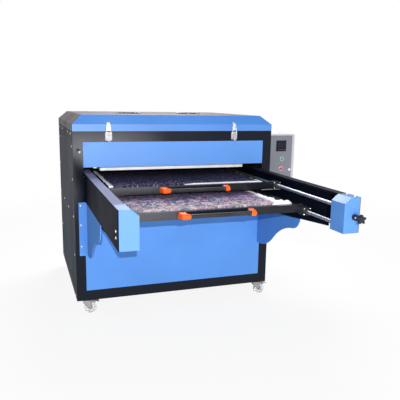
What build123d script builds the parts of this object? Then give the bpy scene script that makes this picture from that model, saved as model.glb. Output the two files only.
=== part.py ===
"""Pneumatic heat press with two sliding trays, in millimetres.

Modelled with X = 0 on the cabinet's middle, Y = 0 on its front face, Y growing to the back and
Z = 0 on the floor. Every node is written with one shift that puts the origin at the middle of the
footprint.
"""

from build123d import *
from math import cos, radians, sin, sqrt
import os

# Cabinet
cabinet_width = 1300.0
cabinet_depth = 1070.0
frame_bottom = 100.0
frame_top = 1155.0
post_size = 60.0
beam_height = 64.0
middle_rail = 38.0
middle_rail_low = 648.0
middle_rail_high = 708.0
tube_wall = 3.0
sheet = 2.0
panel_set_back = 1.0
panel_lip = 18.0
front_panel_top = 712.0
apron_bottom = 940.0
louvre_count = 14
louvre_length = 220.0
louvre_height = 7.0
louvre_pitch = 20.0
louvre_x = 280.0
louvre_z = 800.0

# Lid
lid_gap = 0.5
lid_flange = 42.0
lid_inset = 60.0
lid_top = 1252.0
lid_axis_rise = -2.0
lid_axis_reach = 8.0
lid_pin = 3.0
lid_knuckle = 6.0
lid_hinge_xs = (-420.0, 420.0)
leaf_half = 35.0
leaf_height = 34.0
knuckle_half = 11.0
fan_x = 223.0
fan_y = 470.0
fan_radius = 80.0
fan_blades = 7
guard_rings = (68.0, 56.0, 44.0)
guard_wire = 2.5
motor_radius = 34.0
motor_height = 40.0
motor_shaft = 4.0
cup_outer = 38.0
cup_inner = 35.0
cup_height = 26.0
blade_length = 39.0
blade_width = 26.0
blade_pitch = 32.0

# Arms, their brackets and end caps
arm_half_width = 583.0
arm_bottom = 728.0
arm_top = 903.0
arm_reach = 1090.0
arm_sheet = 4.0
arm_flange = 48.0
arm_lip = 14.0
arm_rear = 985.0
rail_plate_x = 561.0
rail_plate_front = -870.0
rail_plate_root_drop = 95.0
rail_plate_tip_drop = 15.0
rod_anchor_half = 30.0
rod_anchor_depth = 10.0
rod_entry = 20.0
rod_proud = 4.0
cap_width = 85.0
cap_length = 112.0
cap_chamfer_x = 36.0
cap_chamfer_z = 28.5
cap_corner = 8.0
cap_wall = 5.0
cap_rear_wall = 14.0
bracket_bottom = 394.0
bracket_sheet = 5.0
bracket_outer_x = 626.0
bracket_flange = 4.0
bracket_heel = 14.0
belly_radius = 300.0
belly_angle = 45.0
crest_radius = 430.0
crest_angle = 37.0
nose_radius = 100.0
nose_angle = 82.0

# Slide rods and trays
rod_x = 530.0
rod_radius = 10.0
lower_rod_z = 755.0
upper_rod_z = 845.0
running_clearance = 0.05
tray_bar_half = 506.0
tray_half = 480.0
tray_depth = 860.0
bar_depth = 28.0
bar_height = 42.0
middle_bar_half = 20.0
board_sink = 3.0
board_sheet = 4.0
block_width = 48.0
block_height = 44.0
block_length = 50.0
block_edge = 3.0
block_plate_inner = 424.0
block_plate_overhang = 2.0
block_plate_sheet = 4.0
felt_half = 450.0
felt_margin = 6.0
felt_height = 7.0
cloth_half = 488.0
cloth_margin = 2.0
cloth_height = 2.0
upper_front = -340.0
upper_base = 823.0
lower_front = -700.0
lower_base = 754.0
handle_standoff = 38.0
handle_radius = 11.0
handle_half = 190.0
handle_end_radius = 15.5
handle_mouth_radius = 12.5
handle_tip_radius = 9.0
handle_foot = (44.0, 34.0)
handle_neck = (30.0, 22.0)
handle_corner = 8.0

# Heating platen and the press
platen_half = 483.0
platen_front = 75.0
platen_depth = 800.0
platen_bottom = 908.0
platen_height = 30.0
platen_corner = 6.0
casing_height = 40.0
casing_foot = (940.0, 774.0)
casing_crown = (900.0, 734.0)
spreader_height = 47.0
spreader_half_length = 340.0
spreader_half_width = 40.0
spreader_web = 6.0
spreader_flange = 8.0
cylinder_x = 260.0
cylinder_offset_y = 190.0
bore_radius = 40.0
barrel_wall = 4.0
cylinder_base = 1072.0
cylinder_height = 160.0
cylinder_foot = 22.0
cylinder_head = 20.0
cylinder_head_half = 48.0
cylinder_floor = 12.0
cylinder_roof = 13.0
tie_rod_place = 54.0
tie_rod_radius = 4.0
piston_height = 18.0
piston_rod_radius = 12.5
press_beam_half = 66.0
press_beam_flange = 8.0
press_beam_web = 12.0
press_beam_drop = 5.0
bed_top = 750.0
bed_height = 22.0
bed_tube_height = 80.0
bed_tube_half = 30.0
bed_tube_inset = 105.0

# Control box on the right side
box_width = 196.0
box_front = 30.0
box_depth = 220.0
box_bottom = 729.0
box_top = 1129.0
box_margin = 17.0
cable_way_radius = 16.0
cable_way_z = 900.0
door_gap = 1.0
door_rim = 12.0
door_rim_inset = 1.0
door_pin = 1.5
door_knuckle = 3.0
door_knuckle_length = 20.0
door_knuckle_zs = (810.0, 1040.0)
controller_x = 743.0
controller_z = 1051.0
controller_size = 72.0
controller_body = 67.0
controller_depth = 80.0
controller_bezel = 9.0
window_size = (58.0, 40.0)
window_rise = 9.0
key_pitch = 13.0
key_size = (9.0, 6.0)
key_drop = 24.0
button_x = 747.0
start_z = 963.0
stop_z = 896.0
button_radius = 11.0
button_front = 15.0
button_back = 5.0
bezel_radius = 14.5
bezel_front = 12.0
bezel_thread = 13.0
bezel_back = 16.0
lock_x = 813.0
lock_z = 887.0
lock_head_radius = 9.0
lock_head_front = 5.0
lock_barrel_radius = 6.0
lock_barrel_back = 18.0
cam_width = 11.0
cam_length = 32.0
cam_sheet = 3.0

# Latches on the lid
latch_xs = {"left": -437.0, "right": 380.0}
latch_pivot_y = -8.0
latch_pivot_z = 1128.0
latch_pin = 2.0
latch_throw = 11.0
latch_plate_half = 20.0
latch_plate_low = 1100.0
latch_plate_high = 1150.0
ear_inner = 6.0
ear_outer = 8.0
ear_radius = 5.0
ear_drop = 8.0
lever_half = 10.4
lever_sheet = 1.6
lever_front = 15.0
lever_low = 1101.0
lever_cheek_back = 4.5
lever_hub = 4.0
tab_size = (14.0, 10.0)
tab_angle = 30.0
loop_wire = 1.5
loop_half = 12.4
loop_end = 8.9
loop_length = 64.0
loop_bend = 1.9
catch_half = 9.0
catch_sheet = 1.5
catch_low = 1160.0
catch_tail = 16.0
hook_half = 8.0
hook_reach = 5.8
hook_low = 1172.0
hook_high = 1178.0

# Clamp knob on the right end cap
knob_x = 551.0
knob_z = 808.0
knob_front = -1154.0
knob_lobes = 5
knob_height = 16.0
knob_core = 14.0
knob_tip_place = 18.5
knob_tip = 5.0
knob_waist = 8.5
knob_neck_radius = 15.0
knob_neck_gap = 1.5
knob_stud = 5.0
knob_stud_depth = 22.0

# Casters
caster_x = 592.0
caster_inset_y = 45.0
caster_trail = 28.0
caster_turn = {"front_left": 0.0, "front_right": 0.0, "rear_left": 35.0, "rear_right": -20.0}
caster_plate = (92.0, 70.0, 3.0)
race_radius = 26.0
race_height = 7.0
king_pin = 6.0
wheel_radius = 37.5
wheel_width = 30.0
crown_drop = 1.0
tread_edge = 4.0
dish_outer = 27.0
dish_inner = 24.0
hub_outer = 13.0
hub_inner = 11.0
hub_proud = 1.0
axle_radius = 5.0
axle_length = 46.0
fork_top = 89.5
fork_race_radius = 25.0
fork_race_height = 4.0
fork_sheet = 3.0
fork_inner = 17.5
fork_rear = 20.0
fork_front = 24.0
fork_crown_length = 44.0
fork_eye = 9.0
fork_shoulder = 12.0
ear_length = 36.0
ear_height = 10.0
pedal_reach = 24.0
pedal_pivot_z = 74.0
pedal_pin = 2.5
pedal_hub = 5.0
pedal_width = 33.0
pedal_length = 34.0
pedal_sheet = 3.0
pedal_tilt = 12.0

# Services at the back
inlet_x = 340.0
inlet_z = 530.0
inlet_end = 1094.0
inlet_core = 5.9
inlet_depth = 16.0
inlet_collar = 8.0
inlet_port = 11.0
valve_body = (80.0, 50.0, 50.0)
valve_front = 1000.0
coil_size = (30.0, 35.0, 45.0)
gland_x = 760.0
gland_y = 140.0
gland_thread = 8.0
gland_bore = 4.0
gland_hexagon = 12.0
gland_dome = 10.0
gland_drop = 24.0

half_width = cabinet_width / 2
post_inner = half_width - post_size
bottom_beam_top = frame_bottom + beam_height
top_beam_bottom = frame_top - beam_height
lid_axis_y = cabinet_depth + lid_axis_reach
lid_axis_z = frame_top + lid_axis_rise
box_right = half_width + box_width
door_left = half_width + 6.0
door_right = box_right - box_margin - door_gap
door_bottom = box_bottom + 7.0
door_top = box_top - 9.0
door_face = box_front - 1.0
door_axis_x = half_width + 4.0
door_axis_y = box_front - 4.0
platen_middle = platen_front + platen_depth / 2
row_origin = ((box_right - half_width) / 2, (knob_front + inlet_end) / 2, 0.0)


def block(x, y, z):
    """A rectangular solid from pairs of limits along X, Y and Z."""
    size = [abs(pair[1] - pair[0]) for pair in (x, y, z)]
    middle = [(pair[0] + pair[1]) / 2 for pair in (x, y, z)]
    return Pos(*middle) * Box(*size)


def rod_along(axis, radius, centre, limits):
    """A round bar along one axis; centre holds the two other coordinates in order."""
    length = limits[1] - limits[0]
    middle = (limits[0] + limits[1]) / 2
    if axis == "X":
        return Pos(middle, centre[0], centre[1]) * Rot(0, 90, 0) * Cylinder(radius, length)
    if axis == "Y":
        return Pos(centre[0], middle, centre[1]) * Rot(90, 0, 0) * Cylinder(radius, length)
    return Pos(centre[0], centre[1], middle) * Cylinder(radius, length)


def tube(x, y, z, along):
    """A square tube that fills the given limits and is open at both ends along one axis."""
    limits = [x, y, z]
    inner = []
    for name, pair in zip("XYZ", limits):
        inset = 0.0 if name == along else tube_wall
        inner.append((min(pair) + inset, max(pair) - inset))
    return block(x, y, z) - block(*inner)


def folded_panel(x, y_face, z, inward, holes=()):
    """A sheet panel across X with its edges folded back from the face."""
    back = y_face + inward * panel_lip
    shell = block(x, (y_face, back), z)
    hollow_x = (x[0] + sheet, x[1] - sheet)
    hollow_z = (z[0] + sheet, z[1] - sheet)
    shell -= block(hollow_x, (y_face + inward * sheet, back + inward * sheet), hollow_z)
    for hole in holes:
        shell -= hole
    return shell


def mirrored(part):
    return mirror(part, about=Plane.YZ)


def build_frame():
    """Welded tube frame: four posts, beams across, and rails front to back at three levels."""
    members = []
    inner_y = (post_size, cabinet_depth - post_size)
    ends_y = ((0, post_size), (cabinet_depth - post_size, cabinet_depth))
    for side in (-1, 1):
        x = sorted((side * post_inner, side * half_width))
        rail_x = sorted((side * post_inner, side * (post_inner + middle_rail)))
        for y in ends_y:
            members.append(tube(x, y, (frame_bottom, frame_top), "Z"))
        members.append(tube(x, inner_y, (frame_bottom, bottom_beam_top), "Y"))
        members.append(tube(rail_x, inner_y, (middle_rail_low, middle_rail_high), "Y"))
        members.append(tube(x, inner_y, (top_beam_bottom, frame_top), "Y"))
    across = (-post_inner, post_inner)
    for y in ends_y:
        members.append(tube(across, y, (frame_bottom, bottom_beam_top), "X"))
        members.append(tube(across, y, (top_beam_bottom, frame_top), "X"))
    return members


def build_rear_panel(across, full):
    """Rear panel with two banks of louvres and the air inlet's hole."""
    holes = []
    for bank in (-1, 1):
        for row in range(louvre_count):
            z = louvre_z + (row - louvre_count / 2) * louvre_pitch
            place = Pos(bank * louvre_x, cabinet_depth, z)
            holes.append(place * Box(louvre_length, 2 * panel_lip, louvre_height))
    hole_y = (cabinet_depth - panel_lip, cabinet_depth + panel_lip)
    holes.append(rod_along("Y", inlet_port + 0.5, (inlet_x, inlet_z), hole_y))
    return folded_panel(across, cabinet_depth - panel_set_back, full, -1, holes)


def build_panels():
    across = (-post_inner, post_inner)
    full = (bottom_beam_top, top_beam_bottom)
    parts = {
        "front_panel": folded_panel(across, panel_set_back, (bottom_beam_top, front_panel_top), 1),
        "front_apron": folded_panel(across, panel_set_back, (apron_bottom, top_beam_bottom), 1),
        "rear_panel": build_rear_panel(across, full),
    }
    side_length = cabinet_depth - 2 * post_size
    flat = folded_panel((-side_length / 2, side_length / 2), 0, full, 1)
    middle = cabinet_depth / 2
    face_x = half_width - panel_set_back
    parts["side_panel_left"] = Pos(-face_x, middle, 0) * Rot(0, 0, -90) * flat
    way_x = (half_width - panel_lip, half_width + panel_lip)
    cable_way = rod_along("X", cable_way_radius, (gland_y, cable_way_z), way_x)
    parts["side_panel_right"] = Pos(face_x, middle, 0) * Rot(0, 0, 90) * flat - cable_way
    return parts


def lid_hull(inset, drop):
    """The lid's hipped outline, inset sideways and lowered by the sheet."""
    fold = frame_top + lid_flange
    low = frame_top + lid_gap
    width = cabinet_width - 2 * inset
    depth = cabinet_depth - 2 * inset
    middle = cabinet_depth / 2
    skirt = Pos(0, middle, (low + fold) / 2) * Box(width, depth, fold - low)
    eave = Pos(0, middle, fold) * Rectangle(width, depth)
    crown = Pos(0, middle, lid_top - drop) * Rectangle(width - 2 * lid_inset, depth - 2 * lid_inset)
    return skirt + loft([eave, crown])


def lid_front_zone():
    """The space in front of the lid's two front mitres."""
    outline = Polyline(
        (-half_width - 1, -1),
        (half_width + 1, -1),
        (half_width - lid_inset, lid_inset),
        (lid_inset - half_width, lid_inset),
        close=True,
    )
    return extrude(make_face(outline), lid_top + 1)


def lid_hinge_leaf(x):
    """The lid's half of a hinge: leaf, web and middle barrel."""
    leaf_low = frame_top + 4
    leaf = block(
        (x - leaf_half, x + leaf_half),
        (cabinet_depth, cabinet_depth + sheet),
        (leaf_low, leaf_low + leaf_height),
    )
    span = (x - knuckle_half, x + knuckle_half)
    web = block(span, (cabinet_depth, lid_axis_y), (frame_top + 2, frame_top + lid_knuckle))
    axis = (lid_axis_y, lid_axis_z)
    bore_span = (span[0] - 1, span[1] + 1)
    bore = rod_along("X", lid_pin + running_clearance, axis, bore_span)
    return leaf + (web + rod_along("X", lid_knuckle, axis, span) - bore)


def build_lid():
    """Hipped sheet cover with two fan openings; its front flange and slope are a separate sheet."""
    shell = lid_hull(0, 0) - lid_hull(sheet, sheet)
    under = (frame_top - lid_flange, frame_top + lid_gap)
    shell -= block((-cabinet_width, cabinet_width), (-cabinet_depth, 2 * cabinet_depth), under)
    for side in (-1, 1):
        shell -= Pos(side * fan_x, fan_y, lid_top) * Cylinder(fan_radius, lid_flange)
    zone = lid_front_zone()
    front = shell & zone
    cover = shell - zone
    for x in lid_hinge_xs:
        cover += lid_hinge_leaf(x)
    return {"lid_cover": cover, "lid_front": front}


def build_lid_hinges():
    """Fixed leaves with two outer barrels and the pin, on the frame's back face."""
    leaves = []
    axis = (lid_axis_y, lid_axis_z)
    leaf_y = (cabinet_depth, cabinet_depth + sheet)
    leaf_top = lid_axis_z - lid_knuckle - 1
    web_z = (lid_axis_z - lid_knuckle - 3, lid_axis_z - lid_knuckle + 3)
    for x in lid_hinge_xs:
        whole_x = (x - leaf_half, x + leaf_half)
        part = block(whole_x, leaf_y, (leaf_top - leaf_height - 1, leaf_top))
        part += rod_along("X", lid_pin, axis, whole_x)
        for side in (-1, 1):
            span = sorted((x + side * (knuckle_half + 0.5), x + side * leaf_half))
            part += rod_along("X", lid_knuckle, axis, span)
            part += block(span, (cabinet_depth, lid_axis_y), web_z)
        leaves.append(part)
    return leaves


def build_fan_guards():
    """Round finger guards on the lid; each carries its fan's motor on four spokes."""
    guards = []
    rim_height = 4.0
    spoke_length = fan_radius - motor_radius + 6
    spoke_place = (fan_radius + motor_radius - 2) / 2
    for side in (-1, 1):
        rim = Cylinder(fan_radius + 8, rim_height) - Cylinder(fan_radius - 1, 2 * rim_height)
        guard = Pos(0, 0, rim_height / 2) * rim
        for radius in guard_rings:
            ring = Cylinder(radius, guard_wire) - Cylinder(radius - guard_wire, 2 * guard_wire)
            guard += Pos(0, 0, rim_height) * ring
        for turn in range(4):
            spoke = Pos(spoke_place, 0, guard_wire) * Box(spoke_length, rim_height, 3)
            guard += Rot(0, 0, 45 + turn * 90) * spoke
        motor = Pos(0, 0, rim_height - motor_height / 2) * Cylinder(motor_radius, motor_height)
        shaft_way = Cylinder(motor_shaft + running_clearance, motor_height)
        motor -= Pos(0, 0, -motor_height + 2) * shaft_way
        guards.append(Pos(side * fan_x, fan_y, lid_top) * (guard + motor))
    return guards


def build_impeller(side):
    """Fan wheel: a cup round the motor, a shaft and pitched blades."""
    cup_z = -29.0
    blade_place = (cup_inner + 1.5 + blade_length / 2, 0, cup_z + 1)
    cup = Pos(0, 0, cup_z) * Cylinder(cup_outer, cup_height)
    cup -= Pos(0, 0, cup_z + 2.5) * Cylinder(cup_inner, cup_height)
    wheel = cup + Pos(0, 0, cup_z - 3) * Cylinder(motor_shaft, motor_height / 2)
    for turn in range(fan_blades):
        blade = Pos(*blade_place) * Rot(blade_pitch, 0, 0) * Box(blade_length, blade_width, 2)
        wheel += Rot(0, 0, turn * 360 / fan_blades) * blade
    return Pos(side * fan_x, fan_y, lid_top) * wheel


def rail_plate_root():
    """The tapered lower edge of the rail plate, deepest at the cabinet."""
    outline = Plane.YZ * Polyline(
        (-1, arm_bottom),
        (-1, arm_bottom - rail_plate_root_drop),
        (rail_plate_front, arm_bottom - rail_plate_tip_drop),
        (rail_plate_front, arm_bottom),
        close=True,
    )
    return Pos(rail_plate_x, 0, 0) * extrude(make_face(outline), arm_sheet)


def build_arm():
    """Right arm: outer web, top flange, inner rail plate with its tapered root and a rear end plate."""
    cap_rear = cap_length - arm_reach
    plate_x = (rail_plate_x, rail_plate_x + arm_sheet)
    flange_x = (arm_half_width - arm_flange, arm_half_width)
    under_top = arm_top - arm_sheet
    arm = block((arm_half_width - arm_sheet, arm_half_width), (2 - arm_reach, arm_rear), (arm_bottom, arm_top))
    arm += block(flange_x, (cap_rear, arm_rear), (under_top, arm_top))
    arm += block((flange_x[0], flange_x[0] + arm_sheet), (cap_rear, arm_rear), (arm_top - arm_lip, arm_top))
    arm += block(
        (rail_plate_x, arm_half_width),
        (rail_plate_front, arm_rear),
        (arm_bottom, arm_bottom + arm_sheet),
    )
    arm += block(plate_x, (rail_plate_front, arm_rear), (arm_bottom, under_top))
    arm += rail_plate_root()
    anchor_x = (rod_x - rod_anchor_half, arm_half_width)
    arm += block(anchor_x, (arm_rear - rod_anchor_depth, arm_rear), (arm_bottom, arm_top))
    spacer_y = (6, post_size - 6)
    arm += block((arm_half_width - 1, post_inner), spacer_y, (arm_bottom + 20, arm_top - 20))
    hole_y = (arm_rear - 2 * rod_anchor_depth, arm_rear + rod_anchor_depth)
    for z in (lower_rod_z, upper_rod_z):
        arm -= rod_along("Y", rod_radius + running_clearance, (rod_x, z), hole_y)
    return arm


def build_arm_cap():
    """Right end cap: a chamfered hollow housing whose thick rear wall holds the rod ends."""
    outer_x = arm_half_width - arm_sheet
    inner_x = outer_x - cap_width
    rear = cap_length - arm_reach
    outline = Plane.XZ * Polyline(
        (inner_x, arm_bottom),
        (outer_x, arm_bottom),
        (outer_x, arm_top),
        (inner_x + cap_chamfer_x, arm_top),
        (inner_x, arm_top - cap_chamfer_z),
        close=True,
    )
    body = Pos(0, -arm_reach, 0) * extrude(make_face(outline), -cap_length)
    corner = body.edges().filter_by(Axis.Y).group_by(Axis.Z)[0].sort_by(Axis.X)[-1]
    body = fillet(corner, cap_corner)
    hollow_x = (inner_x + cap_wall, outer_x - cap_wall)
    hollow_y = (cap_wall - arm_reach, rear - cap_rear_wall)
    hollow_z = (arm_bottom + cap_wall, arm_top - cap_chamfer_z - cap_wall)
    body -= block(hollow_x, hollow_y, hollow_z)
    for z in (lower_rod_z, upper_rod_z):
        body -= rod_along("Y", rod_radius + running_clearance, (rod_x, z), (rear - cap_rear_wall - 1, rear + 1))
    return body


def build_bracket():
    """Right arm bracket: a web cut to an S curve, folded out to the post and in under the arm."""
    inner = arm_half_width - bracket_sheet
    start = (-bracket_flange, bracket_bottom)
    heel = Line(start, (-bracket_flange - bracket_heel, bracket_bottom))
    belly = JernArc(start=heel @ 1, tangent=heel % 1, radius=belly_radius, arc_size=-belly_angle)
    crest = JernArc(start=belly @ 1, tangent=belly % 1, radius=crest_radius, arc_size=crest_angle)
    nose = JernArc(start=crest @ 1, tangent=crest % 1, radius=nose_radius, arc_size=-nose_angle)
    tip = nose @ 1
    rise = Line(tip, (tip.X, arm_bottom))
    top = Line(rise @ 1, (0.0, arm_bottom))
    back = Line(top @ 1, (0.0, bracket_bottom))
    close = Line(back @ 1, start)
    face = make_face(Plane.YZ * Wire([heel, belly, crest, nose, rise, top, back, close]))
    web = Pos(inner, 0, 0) * extrude(face, bracket_sheet)
    post_leaf = block((inner, bracket_outer_x), (-bracket_flange, 0.0), (bracket_bottom, arm_bottom))
    leaf_y = (tip.X + 10, -6.0)
    under_leaf = block((rail_plate_x + 6, inner), leaf_y, (arm_bottom - bracket_sheet, arm_bottom))
    return web + post_leaf + under_leaf


def build_slide_rods():
    rods = []
    span = (rod_entry - arm_reach, arm_rear + rod_proud)
    for x in (-rod_x, rod_x):
        for z in (lower_rod_z, upper_rod_z):
            rods.append(rod_along("Y", rod_radius, (x, z), span))
    return rods


def build_tray(front, base):
    """Tray of separate tubes welded together: front and rear bars, sides, a middle bar and the board."""
    top = base + bar_height
    back = front + tray_depth
    middle = front + tray_depth / 2
    inner_y = (front + bar_depth, back - bar_depth)
    bar = (-tray_bar_half, tray_bar_half)
    board_z = (top - board_sink - board_sheet, top - board_sink)
    inner_x = (bar_depth - tray_half, tray_half - bar_depth)
    middle_y = (middle - middle_bar_half, middle + middle_bar_half)
    members = [
        tube(bar, (front, front + bar_depth), (base, top), "X"),
        tube(bar, (back - bar_depth, back), (base, top), "X"),
        tube(inner_x, middle_y, (base, board_z[0]), "X"),
        block((-tray_half, tray_half), inner_y, board_z),
    ]
    for side in (-1, 1):
        x = sorted((side * tray_half, side * (tray_half - bar_depth)))
        members.append(tube(x, inner_y, (base, board_z[0]), "Y"))
    return members


def build_felt(front, base):
    z = base + bar_height - board_sink
    inset = bar_depth + felt_margin
    return block((-felt_half, felt_half), (front + inset, front + tray_depth - inset), (z, z + felt_height))


def build_cloth(front, base):
    z = base + bar_height - board_sink + felt_height
    inset = bar_depth + cloth_margin
    return block((-cloth_half, cloth_half), (front + inset, front + tray_depth - inset), (z, z + cloth_height))


def build_slide_blocks(front, rod_z, plate_z=None):
    """Linear bearing blocks at the ends of a tray's bars, on their mounting plates if it has them."""
    solids = []
    outer_x = tray_bar_half + block_width
    for side in (-1, 1):
        x = sorted((side * tray_bar_half, side * outer_x))
        plate_x = sorted((side * block_plate_inner, side * (outer_x + block_plate_overhang)))
        for y in (front, front + tray_depth - block_length):
            span = (y, y + block_length)
            body = block(x, span, (rod_z - block_height / 2, rod_z + block_height / 2))
            body = chamfer(body.edges().filter_by(Axis.Y), block_edge)
            bore_span = (span[0] - 1, span[1] + 1)
            solids.append(body - rod_along("Y", rod_radius + running_clearance, (side * rod_x, rod_z), bore_span))
            if plate_z is not None:
                solids.append(block(plate_x, span, (plate_z - block_plate_sheet, plate_z)))
    return solids


def build_handle(front, base):
    """Pull handle: a tube held off the bar by two moulded ends."""
    y = front - handle_standoff
    z = base + bar_height / 2
    reach = handle_half - 12
    mouth = handle_half - 32
    grip = rod_along("X", handle_radius, (y, z), (-reach, reach))
    profile = Polyline(
        (handle_half + 14, 0),
        (handle_half + 14, handle_tip_radius),
        (handle_half + 8, handle_end_radius),
        (handle_half - 16, handle_end_radius),
        (mouth, handle_mouth_radius),
        (mouth, 0),
        close=True,
    )
    socket = Pos(0, y, z) * revolve(make_face(profile), Axis.X)
    foot = Pos(handle_half - 2, front, z) * Rot(90, 0, 0) * RectangleRounded(*handle_foot, handle_corner)
    neck = Pos(handle_half - 4, y, z) * Rot(90, 0, 0) * RectangleRounded(*handle_neck, handle_corner)
    end = socket + loft([foot, neck])
    end -= rod_along("X", handle_radius, (y, z), (0, reach))
    return [grip, end, mirrored(end)]


def build_platen():
    """Aluminium heating plate with its edge broken all round."""
    y = (platen_front, platen_front + platen_depth)
    plate = block((-platen_half, platen_half), y, (platen_bottom, platen_bottom + platen_height))
    plate = chamfer(plate.edges().filter_by(Axis.Z), platen_corner)
    return chamfer(plate.faces().sort_by(Axis.Z)[0].edges(), platen_corner / 3)


def build_platen_casing():
    """Insulated steel cover on the plate, with the two channels that the piston rods bolt to."""
    low = platen_bottom + platen_height
    high = low + casing_height
    layers = []
    for inset, bottom, top in ((0, low, high), (sheet, low - 1, high - sheet)):
        foot_size = [length - 2 * inset for length in casing_foot]
        crown_size = [length - 2 * inset for length in casing_crown]
        foot = Pos(0, platen_middle, bottom) * Rectangle(*foot_size)
        crown = Pos(0, platen_middle, top) * Rectangle(*crown_size)
        layers.append(loft([foot, crown]))
    casing = layers[0] - layers[1]
    along = (-spreader_half_length, spreader_half_length)
    past = (along[0] - 1, along[1] + 1)
    hollow_z = (high + spreader_web, high + spreader_height - spreader_flange)
    for side in (-1, 1):
        y = platen_middle + side * cylinder_offset_y
        outer_y = (y - spreader_half_width, y + spreader_half_width)
        inner_y = (outer_y[0] + spreader_web, outer_y[1] - spreader_web)
        casing += block(along, outer_y, (high, high + spreader_height)) - block(past, inner_y, hollow_z)
    return casing


def cylinder_places():
    for side_x in (-1, 1):
        for side_y in (-1, 1):
            yield side_x * cylinder_x, platen_middle + side_y * cylinder_offset_y


def build_piston_rods():
    rods = []
    low = platen_bottom + platen_height + casing_height + spreader_height
    piston_top = cylinder_base + cylinder_height - cylinder_roof - 0.5
    piston_z = (piston_top - piston_height, piston_top)
    for place in cylinder_places():
        rod = rod_along("Z", piston_rod_radius, place, (low, piston_top))
        rods.append(rod + rod_along("Z", bore_radius - running_clearance, place, piston_z))
    return rods


def build_cylinders():
    """Tie-rod air cylinders: round barrel, square heads, four tie rods."""
    bodies = []
    top = cylinder_base + cylinder_height
    half = cylinder_head_half
    rod_way = (cylinder_base - 1, cylinder_base + cylinder_floor + 1)
    for x, y in cylinder_places():
        body = rod_along("Z", bore_radius + barrel_wall, (x, y), (cylinder_base, top))
        for z in ((cylinder_base, cylinder_base + cylinder_foot), (top - cylinder_head, top)):
            head = block((x - half, x + half), (y - half, y + half), z)
            body += chamfer(head.edges().filter_by(Axis.Z), half / 8)
        for turn in range(4):
            angle = radians(45 + 90 * turn)
            place = (x + tie_rod_place * cos(angle), y + tie_rod_place * sin(angle))
            body += rod_along("Z", tie_rod_radius, place, (cylinder_base, top))
        body -= rod_along("Z", bore_radius, (x, y), (cylinder_base + cylinder_floor, top - cylinder_roof))
        body -= rod_along("Z", piston_rod_radius + running_clearance, (x, y), rod_way)
        bodies.append(body)
    return bodies


def build_press_beams():
    """Two deep channels between the top rails; the cylinders stand in them."""
    beams = []
    low = cylinder_base - press_beam_web
    for side in (-1, 1):
        y = platen_middle + side * cylinder_offset_y
        outer_y = (y - press_beam_half, y + press_beam_half)
        inner_y = (outer_y[0] + press_beam_flange, outer_y[1] - press_beam_flange)
        beam = block((-post_inner, post_inner), outer_y, (low, frame_top - press_beam_drop))
        beam -= block((-post_inner - 1, post_inner + 1), inner_y, (cylinder_base, frame_top))
        for x in (-cylinder_x, cylinder_x):
            beam -= rod_along("Z", piston_rod_radius + 2, (x, y), (low - 1, cylinder_base + 1))
        beams.append(beam)
    return beams


def build_press_bed():
    """Flat bed under the lower tray on three cross tubes."""
    low = bed_top - bed_height
    back = platen_front + platen_depth
    solids = [block((-tray_half, tray_half), (platen_front, back), (low, bed_top))]
    for y in (platen_front + bed_tube_inset, platen_middle, back - bed_tube_inset):
        tube_y = (y - bed_tube_half, y + bed_tube_half)
        solids.append(tube((-post_inner, post_inner), tube_y, (low - bed_tube_height, low), "X"))
    return solids


def build_control_box():
    """Welded sheet box: plates, the strips round the door's opening and the fixed hinge barrels."""
    x = (half_width, box_right)
    y = (box_front, box_front + box_depth)
    z = (box_bottom, box_top)
    side_y = (y[0] + sheet, y[1])
    side_z = (z[0] + sheet, z[1] - sheet)
    back_x = (x[0] + sheet, x[1] - sheet)
    left = block((x[0], x[0] + sheet), side_y, side_z)
    left -= rod_along("X", cable_way_radius, (gland_y, cable_way_z), (x[0] - 1, x[0] + sheet + 1))
    right = block((x[1] - sheet, x[1]), side_y, side_z)
    back = block(back_x, (y[1] - sheet, y[1]), side_z)
    top = block(x, side_y, (z[1] - sheet, z[1]))
    bottom = block(x, side_y, (z[0], z[0] + sheet))
    bottom -= rod_along("Z", gland_thread, (gland_x, gland_y), (z[0] - 1, z[0] + sheet + 1))
    front_y = (y[0], y[0] + sheet)
    opening_x = (door_left - door_gap, door_right + door_gap)
    opening_z = (door_bottom - door_gap, door_top + door_gap)
    hinge_strip = block((x[0], opening_x[0]), front_y, opening_z)
    lock_strip = block((opening_x[1], x[1]), front_y, opening_z)
    top_strip = block(x, front_y, (opening_z[1], z[1]))
    bottom_strip = block(x, front_y, (z[0], opening_z[0]))
    axis = (door_axis_x, door_axis_y)
    for joint in door_knuckle_zs:
        low = joint - door_knuckle_length
        high = joint - 0.5
        hinge_strip += rod_along("Z", door_pin, axis, (low, joint + door_knuckle_length))
        hinge_strip += rod_along("Z", door_knuckle, axis, (low, high))
        hinge_strip += block((door_axis_x - 1.0, door_axis_x + 1.0), (door_axis_y, box_front), (low, high))
    return [left, right, back, top, bottom, hinge_strip, lock_strip, top_strip, bottom_strip]


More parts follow.
